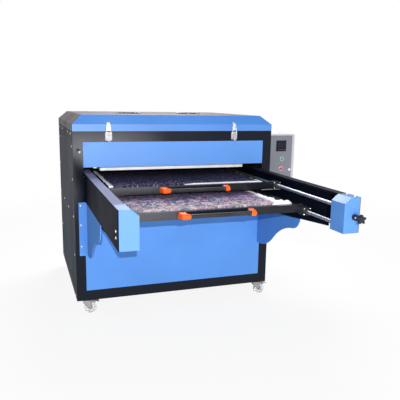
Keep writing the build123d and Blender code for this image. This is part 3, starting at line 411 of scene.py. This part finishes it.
def felt_batting(name):
    """White needled felt with loose fibres and faint grey clouds."""
    finish = Finish(name, (0.95, 0.94, 0.96), 0.95)
    finish.set("Sheen Weight", 0.5)
    finish.set("Sheen Roughness", 0.5)
    fibre = finish.noise(scale=420.0, detail=8.0)
    cloud = finish.noise(scale=9.0, detail=5.0)
    finish.paint(finish.blend(finish.spread(cloud, 0.0, 1.0), (0.90, 0.89, 0.92), (0.98, 0.98, 0.99)))
    finish.bump(fibre, strength=0.55, distance=0.0015)
    return finish.material


WAVE_FACTOR = 20.0  # the wave texture multiplies each coordinate by this


def weave_height(finish, pitch):
    """Over-and-under threads of a plain weave as a height."""
    heights = []
    for direction in ("X", "Y"):
        wave = finish.nodes.new("ShaderNodeTexWave")
        wave.wave_type = "BANDS"
        wave.bands_direction = direction
        wave.inputs["Scale"].default_value = 1.0 / (pitch * WAVE_FACTOR)
        wave.inputs["Distortion"].default_value = 0.4
        finish.links.new(finish.place, wave.inputs["Vector"])
        heights.append(wave.outputs["Fac"])
    return finish.math("MAXIMUM", *heights)


def stepped(finish, value, colours):
    """A colour ramp with hard steps, evenly spaced."""
    ramp = finish.nodes.new("ShaderNodeValToRGB")
    ramp.color_ramp.interpolation = "CONSTANT"
    elements = ramp.color_ramp.elements
    for index, colour in enumerate(colours):
        place = index / len(colours)
        if index < 2:
            element = elements[index]
            element.position = place
        else:
            element = elements.new(place)
        element.color = (*colour, 1.0)
    finish.links.new(value, ramp.inputs["Fac"])
    return ramp.outputs["Color"]


def one_channel(finish, colour):
    split = finish.nodes.new("ShaderNodeSeparateColor")
    finish.links.new(colour, split.inputs[0])
    return split.outputs[0]


GROUND_CELLS = 52.0  # cells per metre
BLOT_CELLS = 70.0
DOT_CELLS = 105.0
# A pale tone painted on the cloth's front as painted light
PAINTED_LIGHT_TONE = (0.68, 0.62, 0.52)
FRAYED_TONE = (0.96, 0.95, 0.98)
FRINGE_TONE = (0.66, 0.60, 0.86)


def printed_cloth(name, ground, petals, dots, painted_shade_tone, fade, fray, fringe=None, painted_light_front=None, motif=1.0):
    """Woven cloth printed with mixed blots and dots.

    Fade gives two places along Y and a share: between them a darker tint grows to that share, which is
    painted shade towards the back. The pale front is given the same way and is painted light, whose share
    falls to nothing towards the back. Fray whitens the left edge, fringe pales the right one and motif scales
    the blots.
    """
    finish = Finish(name, ground[0], 0.95)
    finish.set("Specular IOR Level", 0.08)
    ground_cells, blot_cells = GROUND_CELLS / motif, BLOT_CELLS / motif
    base = stepped(finish, one_channel(finish, finish.cells(ground_cells)), ground)
    blot_share = finish.spread(finish.cells(blot_cells, "Distance"), 1.0, 0.0, start=0.28, end=0.40)
    blots = stepped(finish, one_channel(finish, finish.cells(blot_cells)), petals)
    printed = finish.blend(blot_share, base, blots)
    dot_share = finish.spread(finish.cells(DOT_CELLS, "Distance"), 1.0, 0.0, start=0.26, end=0.38)
    specks = stepped(finish, one_channel(finish, finish.cells(DOT_CELLS)), dots)
    printed = finish.blend(dot_share, printed, specks)
    start, end, share = fade
    # Towards the back the print darkens into painted shade
    far = finish.spread(finish.axis("Y"), 0.0, share, start, end)
    clouded = finish.spread(finish.noise(scale=4.0, detail=5.0), 0.6, 1.0)
    printed = finish.blend(finish.math("MULTIPLY", far, clouded), printed, painted_shade_tone)
    # The pale front is painted light
    if painted_light_front is not None:
        start, end, share = painted_light_front
        printed = finish.blend(finish.spread(finish.axis("Y"), share, 0.0, start, end), printed, PAINTED_LIGHT_TONE)
    ragged = finish.spread(finish.noise(scale=55.0, detail=6.0), fray - 0.012, fray + 0.014)
    edge = finish.math("LESS_THAN", finish.axis("X"), ragged)
    printed = finish.blend(edge, printed, FRAYED_TONE)
    if fringe is not None:
        ragged = finish.spread(finish.noise(scale=90.0, detail=6.0), fringe - 0.016, fringe + 0.016)
        edge = finish.math("GREATER_THAN", finish.axis("X"), ragged)
        printed = finish.blend(edge, printed, FRINGE_TONE)
    finish.paint(printed)
    finish.bump(weave_height(finish, pitch=0.0016), strength=0.4, distance=0.0008)
    finish.bump(finish.noise(scale=38.0, detail=4.0), strength=0.4, distance=0.004)
    return finish.material


def dark_glass(name):
    """Smoked window with a faintly smeared gloss."""
    finish = Finish(name, (0.006, 0.007, 0.014), 0.12)
    finish.set("Specular IOR Level", 0.3)
    finish.gloss(finish.spread(finish.noise(scale=50.0, detail=4.0), 0.08, 0.25))
    return finish.material


# Base tones and the directions of brushed lines
BLUE = (0.102, 0.286, 0.710)
BLACK = (0.0035, 0.0055, 0.012)
SILVER = (0.86, 0.86, 0.86)
ALONG_X = (1.0, 60.0, 60.0)
ALONG_Y = (60.0, 1.0, 60.0)
ALONG_ROD = (1.0, 12.0, 1.0)

finishes = {
    "black": powder_coat("black_coat", BLACK, 0.17, dust=0.06, shine=0.20, flanks=0.50),
    "arm": powder_coat("arm_coat", BLACK, 0.55, dust=0.10, shine=0.02),
    # The left arm's upper face gets a painted sheen: a pale even top tone on what faces up stands in for the
    # light it catches
    "painted_sheen": powder_coat(
        "painted_sheen_arm_coat", BLACK, 0.55, dust=0.10, top=(0.52, 0.54, 0.84), shine=0.02, dust_and_painted_light_film=0.44,
    ),
    "side": powder_coat(
        "side_coat", (0.058, 0.059, 0.082), 0.60, dust=0.05, shine=0.04, foot=(0.016, 0.034, 0.048),
    ),
    "blue": powder_coat("blue_coat", shaded(BLUE, 0.98), 0.50, dust=0.04, shine=0.09, flanks=0.40),
    # The lid's front slope faces up and gets a deeper blue top tone than its flange, which is painted shade
    "lid_blue": powder_coat(
        "lid_blue_coat", shaded(BLUE, 0.88), 0.34, dust=0.0, top=(0.008, 0.196, 0.674), shine=0.42, dust_and_painted_light_film=0.9,
    ),
    # The apron's blue is a little lighter than the panels', a painted sheen
    "apron_blue": powder_coat("apron_painted_sheen_coat", shaded(BLUE, 1.03), 0.45, dust=0.0, shine=0.4),
    # The caps' blue is darker than the panels', painted shade that evens out the stronger light on them
    "cap_blue": powder_coat("cap_painted_shade_coat", shaded(BLUE, 0.82), 0.50, dust=0.04, shine=0.42),
    "lid": powder_coat("lid_coat", (0.056, 0.045, 0.054), 0.48, dust=0.06, dust_and_painted_light_film=0.03, shine=0.10),
    "grey": powder_coat("grey_coat", (0.20, 0.21, 0.24), 0.40, shine=0.25),
    "pale": powder_coat("pale_coat", (0.52, 0.50, 0.52), 0.42),
    "beam": powder_coat("beam_coat", (0.012, 0.012, 0.014), 0.5),
    "tray": powder_coat("tray_coat", (0.008, 0.009, 0.012), 0.24, dust=0.05, shine=0.30),
    "guard": powder_coat("guard_coat", (0.012, 0.012, 0.013), 0.4),
    "pedal": powder_coat("pedal_coat", (0.35, 0.34, 0.34), 0.4),
    "key": powder_coat("key_coat", (0.075, 0.08, 0.10), 0.5),
    "chrome": bare_metal(
        "chromed_rod", (0.32, 0.32, 0.34), 0.42, ALONG_ROD, scale=20.0, strength=0.01, metallic=0.9,
    ),
    "plated": bare_metal("nickel_plate", SILVER, 0.26, scale=150.0, strength=0.05, metallic=0.8),
    "latch": bare_metal("bright_zinc", (0.46, 0.46, 0.48), 0.34, scale=120.0, metallic=0.12),
    "zinc": bare_metal("zinc_plate", (0.36, 0.37, 0.38), 0.28, scale=90.0),
    "alloy": bare_metal("milled_alloy", (0.80, 0.81, 0.83), 0.34, ALONG_X, scale=30.0),
    "plate": bare_metal("sawn_plate", (0.97, 0.97, 1.0), 0.6, ALONG_X, scale=30.0, metallic=0.15),
    "housing": bare_metal("bearing_alloy", (0.030, 0.032, 0.040), 0.42, scale=200.0, metallic=0.4),
    "sheet": bare_metal("casing_sheet", (0.62, 0.63, 0.65), 0.38, ALONG_Y, scale=20.0),
    "handle": two_part_handle("handle_parts"),
    "controller": moulded("controller_case", (0.006, 0.006, 0.013), 0.55, shine=0.15),
    "dark": moulded("black_plastic", (0.010, 0.010, 0.013), 0.42),
    "green": moulded("green_plastic", (0.01, 0.36, 0.14), 0.25),
    "stop": moulded("red_plastic", (0.62, 0.015, 0.03), 0.25),
    "cap": moulded("white_caps", (0.86, 0.86, 0.88), 0.4),
    "seal": moulded("seal_rubber", (0.020, 0.020, 0.022), 0.6),
    "wheel": translucent_tyre("milky_tread"),
    "felt": felt_batting("felt_batting"),
    "glass": dark_glass("dark_window"),
    "brass": bare_metal("brass_screw", (0.78, 0.50, 0.08), 0.3, scale=150.0, metallic=0.7),
    "lower_print": printed_cloth(
        "bright_print",
        [(0.07, 0.05, 0.14), (0.26, 0.17, 0.32), (0.04, 0.09, 0.14), (0.46, 0.38, 0.43)],
        [(0.62, 0.12, 0.20), (0.08, 0.26, 0.30), (0.70, 0.60, 0.60), (0.18, 0.11, 0.32), (0.78, 0.36, 0.42)],
        [(0.95, 0.92, 0.90), (0.04, 0.04, 0.10), (0.16, 0.42, 0.44), (0.72, 0.22, 0.30), (0.95, 0.90, 0.92)],
        (0.16, 0.14, 0.32),
        # A darker back of painted shade and a pale front of painted light
        fade=(FACE_Y - 600 * MM, FACE_Y - 350 * MM, 0.55),
        painted_light_front=(FACE_Y - 620 * MM, FACE_Y - 500 * MM, 0.20),
        motif=1.5,
        fray=MIDDLE_X - 489 * MM,
        fringe=MIDDLE_X + 352 * MM,
    ),
    "upper_print": printed_cloth(
        "dark_print",
        [(0.018, 0.016, 0.042), (0.034, 0.028, 0.068), (0.012, 0.012, 0.030)],
        [(0.070, 0.060, 0.140), (0.022, 0.022, 0.055), (0.030, 0.026, 0.060), (0.24, 0.20, 0.36)],
        [(0.62, 0.56, 0.80), (0.015, 0.015, 0.030), (0.30, 0.26, 0.42), (0.10, 0.08, 0.16)],
        (0.010, 0.010, 0.024),
        # A darker back of painted shade
        fade=(FACE_Y - 325 * MM, FACE_Y - 60 * MM, 0.9),
        fray=MIDDLE_X - 472 * MM,
    ),
}

node_finish = {
    "black": ("frame", "lid_hinges", "caster_plates"),
    "arm": ("arm_right",),
    "painted_sheen": ("arm_left",),
    "side": ("side_panel_left", "side_panel_right", "rear_panel"),
    "lid": ("lid_cover",),
    "blue": ("front_panel", "arm_brackets"),
    "lid_blue": ("lid_front",),
    "apron_blue": ("front_apron",),
    "cap_blue": ("arm_caps",),
    "guard": ("fan_guards",),
    "controller": ("temperature_controller",),
    "dark": ("impeller_left", "impeller_right", "star_knob", "cable_gland"),
    "chrome": ("slide_rods", "piston_rods"),
    "tray": ("upper_tray", "lower_tray"),
    "housing": ("upper_slide_blocks", "lower_slide_blocks"),
    "alloy": ("air_cylinders", "air_valve"),
    "plate": ("heat_platen",),
    "sheet": ("platen_casing",),
    "beam": ("press_beams", "press_bed"),
    "pale": ("control_box",),
    "grey": ("control_door",),
    "plated": ("button_bezels", "door_lock", "latch_catches", "latch_loop_left", "latch_loop_right"),
    "latch": ("latch_bases", "latch_lever_left", "latch_lever_right"),
    "green": ("start_button",),
    "stop": ("stop_button",),
    "handle": ("upper_handle", "lower_handle"),
}

caster_finish = {"caster_fork": "zinc", "caster_wheel": "wheel", "brake_pedal": "pedal"}


def dress(name, finish):
    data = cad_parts[name].data
    data.materials.clear()
    data.materials.append(finishes[finish])


def dress_nodes():
    """Gives every node of the CAD its finish."""
    for finish, names in node_finish.items():
        for name in names:
            dress(name, finish)
    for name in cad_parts:
        for start, finish in caster_finish.items():
            if name.startswith(start):
                dress(name, finish)


# Places and lengths from here on are in millimetres, as at() takes them
FORWARD, BACKWARD = (0, -1, 0), (0, 1, 0)
UPWARD, DOWNWARD = (0, 0, 1), (0, 0, -1)


def new_piece(name, mesh, finish, body, smooth=True):
    """Turns a bmesh into a named piece that rides on a body."""
    data = bpy.data.meshes.new(name)
    mesh.to_mesh(data)
    mesh.free()
    data.materials.append(finishes[finish])
    for face in data.polygons:
        face.use_smooth = smooth
    piece = bpy.data.objects.new(name, data)
    bpy.context.scene.collection.objects.link(piece)
    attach(piece, body)
    return piece


def towards(normal):
    """A rotation that takes +Z to the given direction."""
    return Vector(normal).normalized().to_track_quat("Z", "Y").to_matrix().to_4x4()


def turned(mesh, place, normal, profile, sides=20, capped=True):
    """Adds a turned form: profile is (radius, height) pairs from the foot on."""
    turn = Matrix.Translation(place) @ towards(normal)
    circles = []
    for radius, height in profile:
        circle = []
        for step in range(sides):
            angle = 2 * pi * step / sides
            local = Vector((radius * cos(angle) * MM, radius * sin(angle) * MM, height * MM))
            circle.append(mesh.verts.new(turn @ local))
        circles.append(circle)
    for low, high in zip(circles, circles[1:]):
        for step in range(sides):
            after = (step + 1) % sides
            mesh.faces.new((low[step], low[after], high[after], high[step]))
    if capped:
        mesh.faces.new(circles[-1])
        mesh.faces.new(list(reversed(circles[0])))


def screw_profile(radius, height):
    """Domed head with a round driver recess."""
    shares = ((1.0, 0.0), (1.0, 0.45), (0.86, 0.8), (0.6, 1.0), (0.46, 1.0), (0.36, 0.55))
    return [(radius * wide, high * height) for wide, high in shares]


def screws(name, places, normal, body, radius, height, finish="plated"):
    """Screw heads that share one direction and one body."""
    mesh = bmesh.new()
    for place in places:
        turned(mesh, at(*place), normal, screw_profile(radius, height))
    new_piece(name, mesh, finish, body)


def hexagons(name, places, normal, body, radius, height, finish="zinc"):
    """Chamfered hexagon heads."""
    mesh = bmesh.new()
    profile = [(radius * 0.94, 0.0), (radius, 0.12 * height), (radius, 0.8 * height), (radius * 0.86, height)]
    for place in places:
        turned(mesh, at(*place), normal, profile, sides=6)
    new_piece(name, mesh, finish, body, smooth=False)


def rings(name, places, normal, body, outer, inner, height, finish):
    """Flat rings with a bevelled outer edge, open in the middle."""
    mesh = bmesh.new()
    bevel = [(outer, 0.6 * height), (outer - 0.4 * height, height)]
    profile = [(outer, 0.0), *bevel, (inner, height), (inner, 0.0)]
    for place in places:
        turned(mesh, at(*place), normal, profile, sides=28, capped=False)
    new_piece(name, mesh, finish, body)


def rounded_slab(mesh, place, normal, width, height, corner, levels):
    """A rounded rectangle raised in steps: levels is (inset, rise) pairs."""
    turn = Matrix.Translation(place) @ towards(normal)
    loops = []
    for inset, rise in levels:
        loop = []
        radius = max(corner - inset, 0.2)
        for quarter in range(4):
            for step in range(5):
                angle = (quarter + step / 4) * pi / 2
                side_x = 1 if quarter in (0, 3) else -1
                side_y = 1 if quarter in (0, 1) else -1
                x = side_x * (width / 2 - inset - radius) + radius * cos(angle)
                y = side_y * (height / 2 - inset - radius) + radius * sin(angle)
                loop.append(mesh.verts.new(turn @ Vector((x * MM, y * MM, rise * MM))))
        loops.append(loop)
    for low, high in zip(loops, loops[1:]):
        for step in range(len(low)):
            after = (step + 1) % len(low)
            mesh.faces.new((low[step], low[after], high[after], high[step]))
    mesh.faces.new(loops[-1])


SIDE_FACE = reach("frame", "x")[1] - 0.4  # a little inside the posts, just off the panels
REAR_FACE = reach("rear_panel", "y")[1]
HINGE_X, HINGE_FACE = 420, 1072


def build_cabinet_screws():
    """Screws of the brackets, panels, arms, caps and hinges, and the left post's plug and screw."""
    for side, sign in (("left", -1), ("right", 1)):
        places = [(sign * 614, -4, z) for z in (709, 588, 454)]
        screws("bracket_screws_" + side, places, FORWARD, "cabinet", 5.5, 3.2)
        face = sign * SIDE_FACE
        edge = [(face, 66, z) for z in (120, 385, 630, 861, 1062)]
        edge += [(face, 988, z) for z in (120, 377, 646, 861, 1062)]
        edge += [(face, y, 628) for y in (398, 717)]
        edge += [(face, y, 1137) for y in (112, 301, 720, 960)]
        screws("panel_screws_" + side, edge, (sign, 0, 0), "cabinet", 6.0, 2.8, "cap")
        web = [(sign * 583, -1050, z) for z in (806, 778)]
        screws("arm_screws_" + side, web, (sign, 0, 0), "cabinet", 6.5, 4.0)
    apron_face = (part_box("front_apron")[0].y - FACE_Y) / MM
    corners = [(x, apron_face, z) for x in (-579, 579) for z in (955, 1077)]
    screws("apron_screws", corners, FORWARD, "cabinet", 4.0, 1.6, "blue")
    rear = [(x, REAR_FACE, z) for x in (-575, -190, 190, 575) for z in (180, 1080)]
    screws("rear_screws", rear, BACKWARD, "cabinet", 5.0, 1.0)
    screws("post_plug", [(-620, 0, 1046)], FORWARD, "cabinet", 10.0, 2.4, "seal")
    screws("post_screw", [(-611, 0, 1032)], FORWARD, "cabinet", 6.0, 3.5)
    screws("cap_screws", [(562, -1008, 903), (562, -1070, 903)], UPWARD, "cabinet", 5.0, 5.0)
    for name, body, z in (("hinge_screws_low", "cabinet", 1126), ("hinge_screws_high", "lid", 1180)):
        leaf = [(x + shift, HINGE_FACE, z) for x in (-HINGE_X, HINGE_X) for shift in (-26, 26)]
        screws(name, leaf, BACKWARD, body, 4.0, 2.0)


LID_SLOPE = (0, -0.676, 0.737)  # direction the front slope faces
GUARD_RADIUS = 88
GUARD_TOP = 1256
SCREW_CIRCLE = 84


def build_lid_screws():
    """Screws of the latch catches and of the fan guards."""
    catches = [(middle("latch_lever_" + side, "x"), 5.6, 1204.4) for side in ("left", "right")]
    screws("catch_screws", catches, LID_SLOPE, "lid", 5.5, 3.0, "brass")
    guards = []
    fan_y = middle("fan_guards", "y")
    left, right = reach("fan_guards", "x")
    for x in (left + GUARD_RADIUS, right - GUARD_RADIUS):
        for turn in range(8):
            angle = (turn + 0.5) * pi / 4
            guards.append((x + SCREW_CIRCLE * cos(angle), fan_y + SCREW_CIRCLE * sin(angle), GUARD_TOP))
    screws("guard_screws", guards, UPWARD, "lid", 3.2, 1.8)


# Height of the rods, seed of the unevenness, share of the felt's lumps, X from which the pad's front is
# loose, and the right edges of pad and cloth as (y, x) points
TRAYS = {
    "upper": {
        "rod": 845.0, "seed": 3, "puff": 0.3, "bare": -26.0,
        "pad_right": [(-306, 446), (-197, 433), (-66, 436), (103, 443), (288, 452), (486, 452)],
        "cloth_right": [(-311, 424), (-197, 424), (-66, 427), (103, 434), (288, 448), (486, 450)],
    },
    "lower": {
        "rod": 755.0, "seed": 8, "puff": 1.0, "bare": 355.0,
        "pad_right": [(-676, 444), (-655, 458), (-628, 455), (-606, 438), (-564, 412), (-450, 396),
                      (-339, 396), (-243, 382), (126, 386)],
        "cloth_right": [(-671, 330), (-639, 362), (-583, 371), (-526, 371), (-443, 368), (-356, 365),
                        (-281, 361), (129, 364)],
    },
}
ROD_RADIUS = 10
ROD_X = reach("slide_rods", "x")[1] - ROD_RADIUS


def build_tray_fittings():
    """Rod seals and screws on the slide blocks' ends, and the bright edges of the upper tray's plates."""
    for level, tray in TRAYS.items():
        body = level + "_tray"
        rod = tray["rod"]
        for end, y, normal in zip(("front", "rear"), reach(body, "y"), (FORWARD, BACKWARD)):
            seals = [(sign * ROD_X, y, rod) for sign in (-1, 1)]
            rings(level + "_seals_" + end, seals, normal, body, 15.0, 10.4, 2.4, "seal")
            bolts = [(sign * (ROD_X + across), y, rod + rise)
                     for sign in (-1, 1) for across in (-18, 18) for rise in (-16, 16)]
            screws(level + "_block_screws_" + end, bolts, normal, body, 3.4, 2.6)
    mesh = bmesh.new()
    levels = [(0, 0), (0, 0.3), (0.4, 0.6)]
    front = reach("upper_tray", "y")[0]
    plate_z = (reach("upper_slide_blocks", "z")[0] + reach("upper_tray", "z")[0]) / 2
    for x, width in ((-512, 86), (490, 130)):
        rounded_slab(mesh, at(x, front, plate_z), FORWARD, width, 3.6, 1.0, levels)
    new_piece("upper_plate_edges", mesh, "plated", "upper_tray", smooth=False)


CASTER_X = 592
CASTER_Y = {"front": 45, "rear": 1025}
PLATE_FOOT = 97
AXLE_END = 20.6
NUT_PROFILE = [(8.4, 0.0), (9.0, 0.8), (9.0, 4.2), (7.8, 5.2)]


def build_caster_fittings():
    """Plate bolts under the frame and a hexagon head and nut on each axle."""
    for end, y in CASTER_Y.items():
        for side, x in (("left", -CASTER_X), ("right", CASTER_X)):
            name = end + "_" + side
            bolts = [(x + across, y + deep, PLATE_FOOT) for across in (-37, 37) for deep in (-26, 26)]
            hexagons("plate_bolts_" + name, bolts, DOWNWARD, "cabinet", 6.0, 4.0)
            low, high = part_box("caster_wheel_" + name)
            axle = (low + high) / 2
            trail = axle - at(x, y, axle.z / MM)
            along = Vector((-trail.y, trail.x, 0.0)).normalized()
            mesh = bmesh.new()
            for sign in (-1, 1):
                turned(mesh, axle + along * sign * AXLE_END * MM, along * sign, NUT_PROFILE, sides=6)
            new_piece("axle_nuts_" + name, mesh, "zinc", "caster_fork_" + name, smooth=False)


KEY_PITCH = 13


def build_controls():
    """The controller's window and key pads, the bezels' bright rims and the knob's set screw."""
    x, z = (middle("temperature_controller", axis) for axis in ("x", "z"))
    face = reach("temperature_controller", "y")[0]
    mesh = bmesh.new()
    window = [(0, 0), (0, 0.6), (0.6, 1.1)]
    rounded_slab(mesh, at(x, face + 2.5, z + 9), FORWARD, 57.2, 39.2, 2.0, window)
    new_piece("controller_window", mesh, "glass", "door", smooth=False)
    mesh = bmesh.new()
    pad = [(0, 0), (0, 0.3), (0.5, 0.7)]
    for step in (-1.5, -0.5, 0.5, 1.5):
        rounded_slab(mesh, at(x + step * KEY_PITCH, face, z - 24), FORWARD, 7.6, 4.8, 1.2, pad)
    new_piece("key_pads", mesh, "key", "door", smooth=False)
    rim_face = reach("button_bezels", "y")[0]
    buttons = ("start_button", "stop_button")
    rims = [(middle(button, "x"), rim_face, middle(button, "z")) for button in buttons]
    rings("bezel_rims", rims, FORWARD, "door", 13.0, 11.3, 1.0, "plated")
    screws("knob_set_screw", [(536.4, -1119, 811)], (-1, 0, 0.2), "star_knob", 5.0, 1.6)


def outline_sheet(name, edges, rows, columns, height, body, finish):
    """A sheet within four edges.

    The left and right edges are functions of the way along it, the front and back ones of the way across.
    """
    mesh = bmesh.new()
    left, right, front, back = edges
    grid = []
    for row in range(rows + 1):
        along = row / rows
        line = []
        for column in range(columns + 1):
            across = column / columns
            x = left(along) * (1 - across) + right(along) * across
            y = front(across) * (1 - along) + back(across) * along
            line.append(mesh.verts.new(at(x, y, height(x, y, along, across))))
        grid.append(line)
    for near, far in zip(grid, grid[1:]):
        for column in range(columns):
            mesh.faces.new((near[column], near[column + 1], far[column + 1], far[column]))
    return new_piece(name, mesh, finish, body)


def wobble(seed, scale, size, *place):
    """Repeatable unevenness at a place."""
    x, y = (value / scale for value in place)
    return size * noise.noise(Vector((x, y, seed * 7.31)))


def between(points, y):
    """The value at y on a line through (y, value) points."""
    for (y0, first), (y1, second) in zip(points, points[1:]):
        if y <= y1:
            return first + (second - first) * max(0.0, (y - y0) / (y1 - y0))
    return points[-1][1]


PAD_LEFT = -449
PAD_RISE = 0.3
LOOSE_GAP = 4
LOOSE_BAND = 14
RIM_SHARE = 0.02


def build_pad(level):
    """The felt pad: a crowned slab with soft, slightly torn edges."""
    tray = TRAYS[level]
    seed = tray["seed"]
    front, back = reach(level + "_felt", "y")
    foot, top = reach(level + "_felt", "z")

    def point(u, v, raised):
        """A place on the lower or the raised face, with u and v from -1 to 1 across and along the pad."""
        edge = max(abs(u), abs(v))
        y = (front + back) / 2 + (back - front) / 2 * v
        right = between(tray["pad_right"], y) + wobble(seed + 5, 20, 14, y, 0)
        right += wobble(seed, 60, 3, 0, y)
        x = (right - PAD_LEFT) / 2 * (u + 1) + PAD_LEFT
        loose = 3 if x > tray["bare"] else 0.8
        y += wobble(seed + 6, 22, loose, x, 0) * max(0.0, -v) ** 8
        crown = (top - foot) * (1 - max(0.0, edge - 0.97) / 0.03 * 0.35)
        # Beyond the cloth's edge the felt puffs up in lumps, but not at its rim
        free = (x - between(tray["cloth_right"], y) - LOOSE_GAP) / LOOSE_BAND
        lumps = 6 + wobble(seed + 9, 22, 12, x, y)
        crown += lumps * min(1.0, max(0.0, free)) * min(1.0, (1 - edge) / RIM_SHARE) * tray["puff"]
        return at(x, y, foot + PAD_RISE + (crown if raised else 0))

    mesh = bmesh.new()
    rows, columns = 90, 150
    layers = []
    for raised in (False, True):
        grid = []
        for row in range(rows + 1):
            v = 2 * row / rows - 1
            line = [point(2 * column / columns - 1, v, raised) for column in range(columns + 1)]
            grid.append([mesh.verts.new(place) for place in line])
        layers.append(grid)
    low, high = layers
    for row in range(rows):
        for column in range(columns):
            here = ((row, column), (row, column + 1), (row + 1, column + 1), (row + 1, column))
            mesh.faces.new([high[r][c] for r, c in here])
            mesh.faces.new([low[r][c] for r, c in reversed(here)])
    rim = [(0, c) for c in range(columns)] + [(r, columns) for r in range(rows)]
    rim += [(rows, c) for c in range(columns, 0, -1)] + [(r, 0) for r in range(rows, 0, -1)]
    for (r0, c0), (r1, c1) in zip(rim, rim[1:] + rim[:1]):
        mesh.faces.new((low[r0][c0], low[r1][c1], high[r1][c1], high[r0][c0]))
    pad = new_piece(level + "_pad", mesh, "felt", level + "_tray")
    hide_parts(level + "_felt")


CLOTH_LEFT = -490
CLOTH_SHIFT = 1
CLOTH_THICKNESS = 0.6


def build_cloth(level):
    """The printed cover, lying on the pad with a frayed right edge and soft ripples."""
    tray = TRAYS[level]
    seed = tray["seed"]
    front, back = (edge - CLOTH_SHIFT for edge in reach(level + "_cloth", "y"))
    pad_foot, pad_top = reach(level + "_felt", "z")

    def left_edge(along):
        return CLOTH_LEFT + wobble(seed, 0.05, 5, along, 0)

    def right_edge(along):
        y = front + (back - front) * along
        return between(tray["cloth_right"], y) + wobble(seed + 1, 0.02, 4, along, 0)

    def pulled(across):
        """One where the upper cloth's front is drawn back onto the pad, zero where it hangs over."""
        return min(1.0, max(0.0, (across - 0.46) / 0.08)) if level == "upper" else 0.0

    def front_edge(across):
        return front + 18 * pulled(across) + wobble(seed + 2, 0.03, 1 + 2 * pulled(across), across, 0)

    def back_edge(across):
        return back + wobble(seed + 3, 0.06, 2, across, 0)

    def height(x, y, along, across):
        rise = 0.8 + wobble(seed, 90, 0.9, x, y) + wobble(seed + 4, 28, 0.35, x, y)
        hang = (pad_top - pad_foot) * (1 - pulled(across)) if along == 0 else 0.0
        return pad_top + CLOTH_THICKNESS + max(0.1, rise) - hang

    edges = (left_edge, right_edge, front_edge, back_edge)
    rows, columns = 120, 140
    cloth = outline_sheet(
        level + "_cover", edges, rows, columns, height, level + "_tray", level + "_print",
    )
    modifier = cloth.modifiers.new("thickness", "SOLIDIFY")
    modifier.thickness = CLOTH_THICKNESS * MM
    modifier.offset = 1.0
    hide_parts(level + "_cloth")
    width = (right_edge(0.5) - left_edge(0.5)) * MM


build_camera()
build_world()
build_floor()
build_light("key", at(-1160, -4330, 1825), at(0, 0, 800), 0.02, 145.0)
build_light("front_box", at(150, -4300, 430), at(-240, 0, 640), (1.4, 0.9), 60.0, (0.93, 0.92, 1.0))
build_light("rear_box", at(900, 6000, 1700), at(0, 500, 1200), (3.4, 1.4), 8.0, (1.0, 0.74, 0.78))
build_light("top_box", at(420, 2000, 3350), at(520, -1130, 900), (1.5, 1.5), 150.0, (1.0, 0.98, 1.0))
dress_nodes()
build_cabinet_screws()
build_lid_screws()
build_tray_fittings()
build_caster_fittings()
build_controls()
for level_name in TRAYS:
    build_pad(level_name)
    build_cloth(level_name)

bpy.context.scene.view_settings.view_transform = "Standard"
